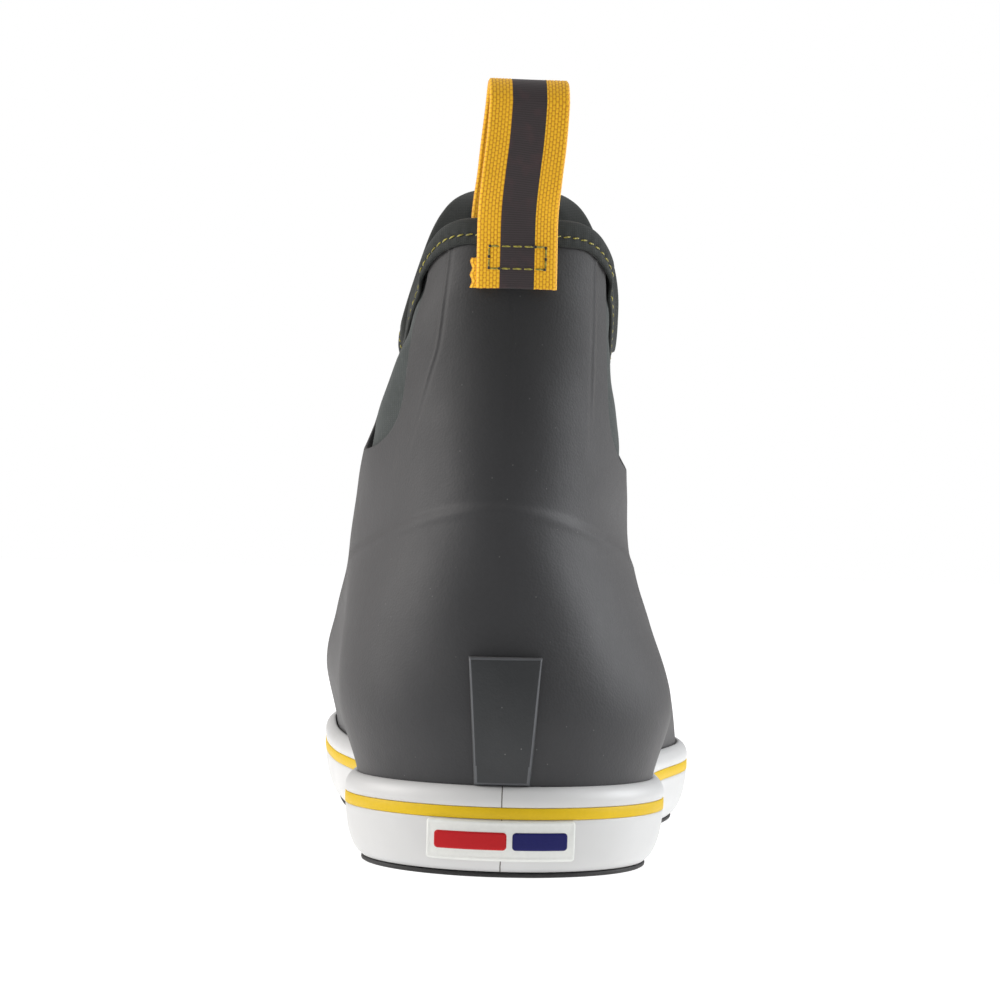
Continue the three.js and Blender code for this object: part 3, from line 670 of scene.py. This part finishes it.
def build_shell():
    back_turn = 0.95
    back = np.linspace(-back_turn, back_turn, 301)
    around = np.linspace(back_turn, TAU - back_turn, 301)[1:-1]
    columns = np.concatenate([back, around])
    n, m = len(columns), 300
    angle, level = np.meshgrid(columns, np.linspace(UPPER_LOW, 159.9, m), indexing="ij")
    depth = window_depth(angle, level)
    faces = grid_faces(n, m, True, False)
    inside = (depth < 0.6).ravel()
    keep = ~inside[faces].all(axis=1)
    faces = faces[keep]
    used = np.zeros(n * m, bool)
    used[faces.ravel()] = True
    snap = np.flatnonzero(used & inside)
    a, lv = angle.ravel().copy(), level.ravel().copy()
    a[snap], lv[snap], outward = slide_to(a[snap], lv[snap], 0.6)
    lv = np.clip(lv, UPPER_LOW, LEVELS[-1])
    relief = shell_relief(a, lv)
    normal = upper_normal(a, lv)
    base = upper_face(a, lv)
    outer = base + normal * relief[:, None]
    inner = base - normal * RUBBER
    count = n * m
    rim = edge_loops(faces)
    is_snap = np.zeros(count, bool)
    is_snap[snap] = True
    at_window = is_snap[rim[:, 0]] & is_snap[rim[:, 1]]
    plain = rim[~at_window]
    walls = [np.stack([plain[:, 1], plain[:, 0], plain[:, 0] + count, plain[:, 1] + count], axis=1)]
    points = [outer, inner]
    lip = rim[at_window]
    previous = np.arange(count)
    radius = 0.6
    start = 2 * count
    for turn in (0.5, 1.05, math.pi / 2):
        sunk = normal[snap] * radius * (math.cos(turn) - 1)
        points.append(outer[snap] - outward * radius * math.sin(turn) + sunk)
        here = np.full(count, -1)
        here[snap] = start + np.arange(len(snap))
        p, q = lip[:, 0], lip[:, 1]
        walls.append(np.stack([previous[q], previous[p], here[p], here[q]], axis=1))
        previous = here
        start += len(snap)
    p, q = lip[:, 0], lip[:, 1]
    walls.append(np.stack([previous[q], previous[p], p + count, q + count], axis=1))
    everything = np.concatenate([faces, faces[:, ::-1] + count] + walls)
    return used_object("rubber_upper", np.concatenate(points), everything)


dress(build_shell(), "upper", "upper_rubber", "boot", "rubber_shell", "back_stay")


def build_gusset(side, name):
    """Stretch panel under the rubber's lips, slightly full between them."""
    n, m = 220, 170
    angle = np.linspace(0.35, math.pi - 0.35, n) * side
    angle, level = np.meshgrid(angle[:: side], np.linspace(92, 159.9, m), indexing="ij")
    depth = window_depth(angle, level)
    faces = grid_faces(n, m, False, False)
    inside = (depth < 3.4).ravel()
    faces = faces[inside[faces].all(axis=1)]
    a, lv, d = angle.ravel(), level.ravel(), depth.ravel()
    normal = upper_normal(a, lv)
    base = upper_face(a, lv)
    fullness = 0.7 * smooth(-1.0, -9.0, d)
    ripple = 0.10 * np.sin(base[:, 2] * 0.55 + 0.9 * np.sin(base[:, 1] * 0.13)) * smooth(-1, -6, d)
    outer = base + normal * (GUSSET_OUT + fullness + ripple)[:, None]
    inner = base + normal * (GUSSET_OUT - 1.0)
    return sheet_solid(name, outer, inner, faces)


dress(build_gusset(1, "gusset_lateral_knit"), "gusset", "gusset_knit", "boot", "gusset_lateral")
dress(build_gusset(-1, "gusset_medial_knit"), "gusset", "gusset_knit", "boot", "gusset_medial")


# ---- lining and insole
def build_lining():
    n, m = 200, 110
    angle, level = np.meshgrid(np.arange(n) / n * TAU, np.linspace(UPPER_LOW + 0.1, 159.9, m), indexing="ij")
    a, lv = angle.ravel(), level.ravel()
    base, normal = upper_face(a, lv), upper_normal(a, lv)
    outer = base + normal * LINING_OUT
    inner = base + normal * LINING_IN
    return sheet_solid("lining_sock", outer, inner, grid_faces(n, m, True, False))


dress(build_lining(), "lining", "lining_knit", "boot", "lining")


def slab_solid(name, steps, top=None):
    """Sole-shaped slab from a stack of (inset, height) outlines, with a meshed top and bottom."""
    n, across_count = 180, 24
    half = n // 2
    i = np.arange(half + 1)
    turn = i / n * TAU
    rows = [(sole_point(turn, inset, z), sole_point(-turn, inset, z)) for inset, z in steps]
    points, faces = [], []
    start = 0
    t = np.linspace(0, 1, across_count)[None, :, None]

    def cap(pair, flip, lift):
        nonlocal start
        right, left = pair
        sheet = right[:, None] * (1 - t) + left[:, None] * t
        if lift is not None:
            sheet[..., 2] += lift(sheet)
        points.append(sheet.reshape(-1, 3))
        quads = grid_faces(half + 1, across_count, False, False) + start
        faces.append(quads[:, ::-1] if flip else quads)
        start += (half + 1) * across_count

    cap(rows[0], True, None)
    cap(rows[-1], False, top)
    ring_start = start
    stack = np.stack([np.concatenate([right, left[1:-1][::-1]]) for right, left in rows], axis=1)
    points.append(stack.reshape(-1, 3))
    faces.append(grid_faces(len(stack), len(steps), True, False) + ring_start)
    return weld(new_object(name, np.concatenate(points), np.concatenate(faces)), 1e-6)


def footbed_lift(sheet):
    """The cover dips a little under the heel and ball."""
    x, y = sheet[..., 0], sheet[..., 1]
    heel = np.exp(-(((y - 45) / 26) ** 2) - (x / 20) ** 2)
    ball = np.exp(-(((y - 200) / 34) ** 2) - (x / 32) ** 2)
    return -0.25 * heel - 0.18 * ball


foam_steps = [
    (INSOLE_INSET + 0.9, 15.5), (INSOLE_INSET + 0.2, 16.0), (INSOLE_INSET, 17), (INSOLE_INSET, FOAM_TOP),
]
insole_foam = slab_solid("insole_foam_pad", foam_steps)
dress(insole_foam, "insole_foam", "insole_foam", "insole", "insole_foam")
cover_low = FOAM_TOP + 0.05
cover_steps = [
    (INSOLE_INSET, cover_low), (INSOLE_INSET, cover_low + 0.5), (INSOLE_INSET + 0.25, cover_low + 0.85),
    (INSOLE_INSET + 0.8, cover_low + 1.05),
]
cover = slab_solid("insole_top_cover", cover_steps, top=footbed_lift)
dress(cover, "insole_cloth", "insole_cloth", "insole", "insole_cover")


# ---- foxing and outsole
def wall_inset(z):
    return hermite([1.4, 3.4, 7, 11, 14.4], [4.4, 2.7, 1.2, 0.4, 0.1], z)


def foxing_section():
    """Section of the foxing wall: outer face upward with the stripe's groove, then down inside."""
    heights = np.linspace(1.4, 14.4, 14)
    outer = list(zip(wall_inset(heights), heights))
    outer[0] = (4.7, 1.4)
    outer.insert(1, (4.45, 1.62))
    outer += [(0.2, 14.55), (0.75, 14.6), (0.75, 17.5), (0.2, 17.55), (0.0, 17.8)]
    outer += [(-0.06, 18.6), (0.0, 19.5), (0.3, 20.5), (0.85, 21.4), (1.6, 22.05), (2.3, 22.4), (2.75, 22.5)]
    inner = [(3.05, 22.4), (3.2, 16), (3.2, 6.95), (7.4, 6.8), (7.4, 1.4)]
    return np.array(outer + inner)


def sweep_sole(name, section, n=540):
    angle = np.arange(n)[:, None] / n * TAU
    section = np.asarray(section, float)
    return band_solid(name, sole_point(angle, section[None, :, 0], section[None, :, 1]))


dress(sweep_sole("foxing_wall", foxing_section()), "foxing", "foxing_rubber", "boot", "foxing_band")
stripe_section = [
    (0.7, 14.64), (0.12, 14.64), (0.0, 14.8), (-0.04, 16.0), (0.0, 17.3), (0.12, 17.46), (0.7, 17.46),
]
dress(sweep_sole("foxing_stripe_band", stripe_section), "stripe", "stripe_rubber", "boot", "foxing_stripe")


def sipe_depth(x, y):
    """Depth of the wiper grooves at a place under the sole."""
    wave = 2.4 * np.sin(x * TAU / 17.0)
    fine = np.abs(((y + wave) / 4.6) % 1 - 0.5) * 4.6
    cut = smooth(0.55, 0.25, fine)
    channel = np.abs(((y + wave) / 23.0) % 1 - 0.5) * 23.0
    deep = smooth(1.6, 1.0, channel)
    return 1.1 * cut + 1.3 * deep * (1 - cut)


def build_outsole():
    """Outsole with wavy wiper grooves: a fine bottom sheet inside a stepped edge."""
    n, wide = 1200, 61
    half = n // 2
    i = np.arange(half + 1)
    s_angle = np.arccos(1 - 2 * np.linspace(0.0, 1.0, half + 1))
    inset = 5.0
    ends_off = np.clip(s_angle, 1e-4, math.pi - 1e-4)
    right = sole_point(ends_off, inset, 0.0)
    left = sole_point(-ends_off, inset, 0.0)
    t = np.linspace(0, 1, wide)[None, :, None]
    sheet = right[:, None] * (1 - t) + left[:, None] * t
    sheet[..., 2] = toe_lift(sheet[..., 1])
    edge = np.minimum(np.linspace(0, 1, wide), 1 - np.linspace(0, 1, wide))[None, :]
    width = np.linalg.norm(right - left, axis=-1)[:, None]
    room = smooth(2.0, 3.2, edge * width) * smooth(4, 8, sheet[..., 1]) * smooth(296, 290, sheet[..., 1])
    sheet[..., 2] += sipe_depth(sheet[..., 0], sheet[..., 1]) * room
    bottom = sheet.reshape(-1, 3)
    faces = [grid_faces(half + 1, wide, False, False)[:, ::-1]]
    loop_index = np.concatenate([i * wide, (i[1:-1][::-1]) * wide + wide - 1])
    loop_angle = np.concatenate([s_angle, -s_angle[1:-1][::-1]])
    loop_angle = np.where(np.abs(loop_angle) < 1e-4, 1e-4, loop_angle)
    loop_angle = np.clip(loop_angle, -math.pi + 1e-4, math.pi - 1e-4)
    rows = [(4.55, 0.25), (4.45, 0.6), (4.5, 1.05), (4.9, 1.15), (7.7, 1.2), (7.7, 6.8)]
    points = [bottom]
    previous = loop_index
    start = len(bottom)
    count = len(loop_index)
    nxt = (np.arange(count) + 1) % count
    for row_inset, z in rows:
        points.append(sole_point(loop_angle, row_inset, z))
        here = start + np.arange(count)
        faces.append(np.stack([previous, previous[nxt], here[nxt], here], axis=1))
        previous = here
        start += count
    mirror = (count - i) % count
    faces.append(previous[np.stack([i[:-1], i[1:], mirror[1:], mirror[:-1]], axis=1)])
    return weld(new_object("outsole_siped", np.concatenate(points), np.concatenate(faces)), 2e-6)


dress(build_outsole(), "outsole", "outsole_rubber", "boot", "outsole")


# ---- heel fittings
def face_patch(name, half_width, low, high, profile, place, columns, rows, corner=0.0):
    """Raised patch on a curved face. place(x, z, proud) gives points; profile(e, t) is how proud it is."""
    u = np.linspace(-1, 1, columns)[:, None]
    t = np.linspace(0, 1, rows)[None, :]
    u, t = np.broadcast_arrays(u, t)
    width, middle = half_width(t), (low + high) / 2
    x = u * width
    z = low + (high - low) * t
    edge = np.minimum(width - np.abs(x), np.minimum(z - low, high - z))
    if corner:
        cx = np.maximum(np.abs(x) - (width - corner), 0)
        cz = np.maximum(np.abs(z - middle) - ((high - low) / 2 - corner), 0)
        reach = np.hypot(cx, cz)
        pull = corner / np.maximum(reach, corner)
        x = np.sign(x) * (np.abs(x) - cx + cx * pull)
        z = middle + np.sign(z - middle) * (np.abs(z - middle) - cz + cz * pull)
        edge = np.where(reach > 0, np.maximum(corner - reach, 0), np.minimum(width - np.abs(x), edge))
    outer = place(x, z, profile(edge, t)).reshape(-1, 3)
    inner = place(x, z, np.full(x.shape, 0.12)).reshape(-1, 3)
    return sheet_solid(name, outer, inner, grid_faces(columns, rows, False, False)), edge.ravel()


def on_upper(x, z, proud):
    angle = angle_at(x, lambda a: upper_face(a, z))
    return upper_point(angle, z, proud + shell_relief(angle, z))


def on_wall(x, z, proud):
    inset = wall_inset(z)
    angle = angle_at(x, lambda a: sole_point(a, inset, z))
    return sole_point(angle, inset - proud, z)


KICK_LOW, KICK_HIGH = 22.6, 54.0


def kick_profile(edge, t):
    height = 1.2 + 2.2 * t**0.9
    return 0.15 + (height - 0.15) * smooth(-0.15, 0.95, edge)


kick, kick_edge = face_patch(
    "heel_kick_wedge", lambda t: (13.6 + 3.9 * t) / 2, KICK_LOW, KICK_HIGH, kick_profile, on_upper, 61, 95
)
kick.data.materials.append(MATERIALS["kick"])
kick.data.materials.append(MATERIALS["kick_edge"])
# Faces on the kick tab's bevels take the lighter edge rubber, a painted highlight.
for polygon in kick.data.polygons:
    corners = [v for v in polygon.vertices if v < len(kick_edge)]
    if corners and 0.15 < min(kick_edge[v] for v in corners) < 0.95:
        polygon.material_index = 1
dress(kick, "kick", "kick_tab_rubber", "boot", "heel_kick_tab")

LABEL_LOW, LABEL_HIGH = 4.25, 14.35


def label_profile(edge, _t):
    rim = 0.12 * smooth(0.25, 0.5, edge) * smooth(1.1, 0.8, edge)
    return 0.3 + 0.55 * smooth(-0.05, 0.4, edge) + rim


label, _ = face_patch(
    "heel_label_plate", lambda t: 18.0 + 0 * t, LABEL_LOW, LABEL_HIGH, label_profile, on_wall, 145, 61, 0.9
)
dress(label, "label", "label_rubber", "boot", "heel_label")


def bar_profile(edge, _t):
    return 0.75 + 0.5 * smooth(-0.05, 0.45, edge)


def on_wall_from(middle):
    return lambda x, z, proud: on_wall(x + middle, z, proud)


for name, key, slot, node, width, middle in (
    ("label_inlay_navy", "navy", "label_navy", "label_bar_navy", 13.4, 9.3),
    ("label_inlay_red", "red", "label_red", "label_bar_red", 17.4, -7.3),
):
    half = width / 2
    bar, _ = face_patch(
        name, lambda t: half + 0 * t, 7.0, 11.6, bar_profile, on_wall_from(middle), 121, 31, 1.0
    )
    dress(bar, key, slot, "boot", node)


# ---- collar binding and its stitches
def binding_sink(angle):
    """The binding drops a little where it passes from rubber to gusset."""
    depth = window_depth(angle, np.full(np.shape(angle), 156.0))
    return 1.5 * smooth(-1.5, -6.0, depth)


def binding_section():
    """Soft tape folded over the edge: (down, proud) from the outer low edge over the top to inside."""
    outer = [(6.5, 0.35), (6.62, 0.75), (6.3, 1.12), (5.4, 1.3), (4.6, 1.12), (4.2, 0.95), (3.8, 1.12)]
    outer += [(2.9, 1.42), (1.8, 1.5), (0.9, 1.35), (0.25, 0.95), (-0.1, 0.2), (-0.2, -0.8)]
    over = [(-0.2, -5.4), (-0.1, -6.6), (0.25, -7.2), (0.9, -7.6), (1.8, -7.75), (2.9, -7.7), (4.2, -7.35)]
    over += [(5.4, -7.6), (6.3, -7.45), (6.6, -7.1), (6.5, -6.65)]
    under = [(1.6, -6.6), (1.2, -6.0), (1.2, -0.3), (1.6, 0.3)]
    return np.array(outer + over + under)


def build_binding():
    n = 720
    angle = np.arange(n) / n * TAU
    section = binding_section()
    down = section[None, :, 0] + 0.12 * np.sin(angle * 19)[:, None] * (section[None, :, 0] > 5)
    outward = (section[None, :, 1] > -1) * (section[None, :, 0] > 0.5)
    pucker = 0.06 * np.sin(angle * 74)[:, None] * ((down > 2.5) & (down < 6))
    proud = section[None, :, 1] - binding_sink(angle)[:, None] * outward + pucker
    points = collar_point(angle[:, None], down, proud)
    return band_solid("collar_binding_tape", points)


dress(build_binding(), "binding", "binding_tape", "boot", "collar_binding")


def capsule(start, end, up, radius, sides, rings):
    """One stitch: a short arched capsule between two points."""
    length = np.linalg.norm(end - start)
    axis = (end - start) / length
    side = np.cross(axis, up)
    side /= np.linalg.norm(side)
    out = np.cross(side, axis)
    points = []
    for k in range(rings):
        t = k / (rings - 1)
        size = radius * (0.35 + 0.65 * math.sin(math.pi * min(max(t, 0.08), 0.92)) ** 0.5)
        centre = start + axis * length * t + out * radius * (math.sin(math.pi * t) * 0.9 - 0.35)
        for q in range(sides):
            turn = q / sides * TAU
            points.append(centre + side * size * math.cos(turn) + out * size * 0.8 * math.sin(turn))
    return points


def stitch_object(name, stitches, radius):
    """Many capsules in one piece: stitches are (start, end, up)."""
    sides, rings = 7, 5
    points, faces = [], []
    for start, end, up in stitches:
        base = len(points)
        points += capsule(np.asarray(start), np.asarray(end), np.asarray(up), radius, sides, rings)
        for k in range(rings - 1):
            for q in range(sides):
                here, there = base + k * sides + q, base + k * sides + (q + 1) % sides
                faces.append((here, there, there + sides, here + sides))
        faces.append(tuple(base + q for q in range(sides))[::-1])
        faces.append(tuple(base + (rings - 1) * sides + q for q in range(sides)))
    return new_object(name, np.array(points), faces)


def binding_stitches():
    fine = np.linspace(0, TAU, 2401)
    sink = binding_sink(fine)
    line = collar_point(fine, 4.2, 1.18 - sink)
    inner = collar_point(fine, 4.2, -7.5)
    found = []
    for track, sign in ((line, 1.0), (inner, -1.0)):
        run = run_length(track)
        count = int(run[-1] / 2.9)
        for k in range(count):
            begin = (k + 0.15) * run[-1] / count
            p, q = (np.array([np.interp(begin + d, run, track[:, c]) for c in range(3)]) for d in (0, 2.0))
            a = np.interp(begin + 1.0, run, fine)
            normal = upper_normal(np.array(a), np.array(LEVELS[-1])) * sign
            slant = np.cross(normal, unit(q - p)) * 0.16
            found.append((p - slant, q + slant, normal))
    return found


stitches = stitch_object("binding_stitching", binding_stitches(), 0.21)
dress(stitches, "thread", "binding_tape")


# ---- pull loop
SEAM_Y = upper_face(np.array(0.0), np.array(LEVELS[-1]))[1]


def loop_path():
    """Centre line of the webbing from the outer hem over the bow to the inner end: rows (x, y, z)."""
    outer_y = SEAM_Y - 2.35
    inner_y = SEAM_Y + 8.65
    top = 197 - 0.75
    middle = (outer_y + inner_y) / 2
    radius = (inner_y - outer_y) / 2 + 0.8
    rows = [(0.6, outer_y - 0.2, 144.6), (0.6, outer_y - 0.1, 150), (0.6, outer_y, 156), (0.6, outer_y, 161)]
    rows += [(0.8, outer_y - 0.1, 166), (1.4, outer_y - 0.5, 173), (2.2, outer_y - 0.8, 181)]
    for share in np.linspace(0, 1, 9):
        turn = math.pi * (1 - share)
        y, z = middle + radius * math.cos(turn), top - radius + radius * math.sin(turn)
        rows.append((2.7 - 0.9 * share**1.5, y, z))
    rows += [(0.9, inner_y + 0.7, 181), (0.2, inner_y + 0.5, 173), (-0.6, inner_y + 0.2, 166)]
    rows += [(-0.9, inner_y, 161), (-0.9, inner_y + 0.1, 155), (-0.9, inner_y + 0.2, 148.2)]
    return np.array(rows, float)


def resample(rows, count):
    run = run_length(rows)
    at = np.linspace(0, run[-1], count)
    return np.stack([hermite(run, rows[:, c], at) for c in range(3)], axis=1), at


def build_loop():
    path, run = resample(loop_path(), 520)
    tangent = unit(np.gradient(path, axis=0))
    share = run / run[-1]
    z = path[:, 2]
    twist = np.radians(5.0) * np.sin(math.pi * share)
    wide = np.stack([np.cos(twist), np.sin(twist), 0 * twist], axis=1)
    wide = unit(wide - tangent * np.sum(wide * tangent, axis=1, keepdims=True))
    out = unit(np.cross(wide, tangent))
    hold = smooth(172, 160, z)
    bend = np.where(share < 0.5, 1 / 27.0, 1 / 17.0) * hold
    w = np.linspace(-WEB_WIDTH / 2, WEB_WIDTH / 2, 61)
    edge = np.clip((np.abs(w) - 9.3) / 0.7, 0, 1)
    half = 0.72 * np.sqrt(np.maximum(0, 1 - edge**2))
    u = w / WEB_WIDTH + 0.5
    dark = np.abs(u - 0.5) < WEB_DARK_SHARE
    yarn = u * WEB_WIDTH / WEB_YARN
    grains = np.abs(np.sin(math.pi * (run[:, None] / WEB_FLOAT + 0.5 * (np.floor(yarn)[None] % 2))))
    weave = 0.20 * (np.abs(np.sin(math.pi * yarn))[None] * grains**0.6 - 0.5)
    ribs = 0.04 * (np.abs(np.sin(math.pi * run[:, None] / WEB_RIB)) - 0.5) - 0.03
    texture = np.where(dark[None], ribs, weave) * (1 - edge[None])
    sag = bend[:, None] * w[None] ** 2 / 2
    toward = np.where(share < 0.5, -1.0, 1.0)[:, None]

    def face(sign):
        lift = sign * (half[None] + texture * (half[None] > 0.2)) + toward * sag
        return path[:, None] + wide[:, None] * w[None, :, None] + out[:, None] * lift[..., None]

    top, low = face(1), face(-1)[:, 1:-1][:, ::-1]
    ring_points = np.concatenate([top, low], axis=1)
    uv_u = np.concatenate([u, u[1:-1][::-1]])
    uv = np.stack(np.broadcast_arrays(uv_u[None], run[:, None]), axis=-1).reshape(-1, 2)
    rows, columns = ring_points.shape[:2]
    faces = [tuple(f) for f in grid_faces(rows, columns, False, True)]
    faces.append(tuple(range(columns)))
    faces.append(tuple(range((rows - 1) * columns, rows * columns))[::-1])
    return new_object("pull_loop_webbing", ring_points.reshape(-1, 3), faces, uv)


loop = build_loop()
loop.data.materials.append(MATERIALS["webbing"])
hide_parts("pull_loop_outer_end", "pull_loop_bow", "pull_loop_inner_end")
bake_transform(loop)


def build_hem():
    """Turned-under end of the webbing, peeking out beside the outer end."""
    columns, rows = 41, 33
    w = np.linspace(-WEB_WIDTH / 2, WEB_WIDTH / 2, columns)
    w, z = np.meshgrid(w, np.linspace(144.75, 152.2, rows), indexing="ij")
    x = w - 0.75 + 0.25 * np.sin(z * 1.9)
    edge = np.clip((np.abs(w) - 9.4) / 0.6, 0, 1)
    end = np.clip((z - 151.5) / 0.7, 0, 1)
    half = 0.55 * np.sqrt(np.maximum(0, 1 - edge**2)) * np.sqrt(np.maximum(0, 1 - end**2))
    u = w / WEB_WIDTH + 0.5
    grain = np.abs(np.sin(math.pi * u * WEB_WIDTH / WEB_YARN)) * np.abs(np.sin(math.pi * z / WEB_FLOAT)) ** 0.6
    grain = 0.08 * grain
    middle = SEAM_Y - 1.05 + x**2 / 54 * 0.9
    outer = np.stack([x, middle - half - grain * (half > 0.1), z], axis=-1).reshape(-1, 3)
    inner = np.stack([x, middle + half, z], axis=-1).reshape(-1, 3)
    uv = np.stack([u, z - 144.6], axis=-1).reshape(-1, 2)
    obj = sheet_solid("loop_turned_hem", outer, inner, grid_faces(columns, rows, False, False), uv)
    return dress(obj, "webbing", "webbing")


build_hem()


def box_stitches():
    """Box stitch through the loop's outer end, with dark capsules at the needle holes between its stitches as
    painted shadow.
    """
    outward = np.array([0.0, -1.0, 0.0])
    corners = [(-6.4, 149.4), (7.6, 149.4), (7.6, 154.9), (-6.4, 154.9)]
    found = []
    for k in range(4):
        a = np.array(corners[k])
        b = np.array(corners[(k + 1) % 4])
        count = max(2, round(np.linalg.norm(b - a) / 2.8))
        for c in range(count):
            flat = [a + (b - a) * (c + part) / count for part in (0.12, 0.88)]
            p, q = (np.array([x, SEAM_Y - 3.25 + (x - 0.6) ** 2 / 54, z]) for x, z in flat)
            found.append((p, q, outward))
    holes = []
    for p, q, up in found:
        if abs(q[0] - 0.6) > 4.2:
            ahead = unit(q - p)
            holes.append((q - ahead * 0.25, q + ahead * 0.55, up))
    return found, holes


box_thread, box_holes = box_stitches()
dress(stitch_object("loop_box_stitching", box_thread, 0.24), "thread", "webbing")
# The needle-hole capsules are painted shadow, dark pieces standing for the shade inside the holes.
dress(stitch_object("loop_needle_holes", box_holes, 0.36), "hole", "webbing")

# ---- inner CAD pieces keep their solids
for node, key in (
    ("midsole", "midsole"), ("insole_board", "board"), ("fabric_backing", "board"), ("heel_counter", "board"),
    ("toe_puff", "board"), ("neoprene_bootie", "neoprene"),
):
    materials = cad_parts[node].data.materials
    materials.clear()
    materials.append(MATERIALS[key])


# ---- stage, light and camera
def build_floor():
    size = 4.0
    mesh = bpy.data.meshes.new("floor")
    corners = [(-size, -size, 0), (size, -size, 0), (size, size, 0), (-size, size, 0)]
    mesh.from_pydata(corners, [], [(0, 1, 2, 3)])
    floor = in_scene("floor", mesh)
    g = Graph("floor_pale")
    base = g.ramp(g.noise(3), [(0.3, (0.49, 0.49, 0.49)), (0.7, (0.51, 0.51, 0.51))])
    glow = dict(Emission_Color=(1.0, 1.0, 1.0, 1.0), Emission_Strength=0.78)
    mesh.materials.append(g.finish(base, 0.9, **glow))


build_floor()


def stand(obj, location, right, up, back):
    matrix = Matrix.Identity(4)
    for row in range(3):
        matrix[row][0], matrix[row][1], matrix[row][2] = right[row], up[row], back[row]
        matrix[row][3] = location[row]
    obj.matrix_world = matrix


def area_light(name, location, target, size, power, color=(1, 1, 1)):
    data = bpy.data.lights.new(name, "AREA")
    data.shape = "RECTANGLE"
    data.size, data.size_y = size
    data.energy = power
    data.color = color
    away = np.array(location, float) - np.array(target, float)
    back = away / np.linalg.norm(away)
    right = np.cross([0, 0, 1.0], back)
    right /= np.linalg.norm(right)
    stand(in_scene(name, data), location, right, np.cross(back, right), back)


area_light("side_left", (-1.0, 0.05, 0.50), (0, -0.05, 0.10), (0.7, 0.6), 8.8, (1.0, 0.97, 0.95))
area_light("side_right", (1.0, 0.12, 0.50), (0, -0.05, 0.10), (0.7, 0.6), 8.8, (0.95, 0.97, 1.0))
area_light("rear_fill", (0.0, -1.8, 0.55), (0, -0.15, 0.08), (1.2, 0.8), 0.8)


def build_world():
    """White studio: bright overhead, dim near the horizon, plain white where it is seen directly."""
    world = bpy.data.worlds.new("studio_white")
    world.use_nodes = True
    tree = world.node_tree
    link = tree.links.new
    background = tree.nodes["Background"]
    background.inputs["Color"].default_value = (1.0, 1.0, 1.0, 1)
    place = tree.nodes.new("ShaderNodeTexCoord")
    split = tree.nodes.new("ShaderNodeSeparateXYZ")
    link(place.outputs["Generated"], split.inputs[0])
    sky = tree.nodes.new("ShaderNodeMapRange")
    sky.interpolation_type = "SMOOTHSTEP"
    for key, value in (("From Min", 0.15), ("From Max", 0.95), ("To Min", 0.03), ("To Max", 0.78)):
        sky.inputs[key].default_value = value
    link(split.outputs[2], sky.inputs["Value"])
    seen = tree.nodes.new("ShaderNodeLightPath")
    choose = tree.nodes.new("ShaderNodeMix")
    choose.data_type = "FLOAT"
    link(seen.outputs["Is Camera Ray"], choose.inputs[0])
    link(sky.outputs["Result"], choose.inputs[2])
    choose.inputs[3].default_value = 1.0
    link(choose.outputs[0], background.inputs["Strength"])
    bpy.context.scene.world = world


build_world()
bpy.context.scene.view_settings.view_transform = "Standard"


def place_camera():
    """Rear view, low, a long lens and a slight roll."""
    data = bpy.data.cameras.new("camera")
    data.sensor_width = 36.0
    data.lens = 116.98
    camera = in_scene("camera", data)
    location = placed([-16.66, -790.0, 89.03])
    yaw, pitch, roll = math.radians(-1.037), math.radians(0.238), math.radians(1.453)
    forward = np.array([-math.sin(yaw) * math.cos(pitch), math.cos(yaw) * math.cos(pitch), math.sin(pitch)])
    right = np.array([math.cos(yaw), math.sin(yaw), 0])
    up = np.cross(right, forward)
    turned_up = up * math.cos(roll) - right * math.sin(roll)
    turned_right = right * math.cos(roll) + up * math.sin(roll)
    stand(camera, location, turned_right, turned_up, -forward)
    bpy.context.scene.camera = camera


place_camera()
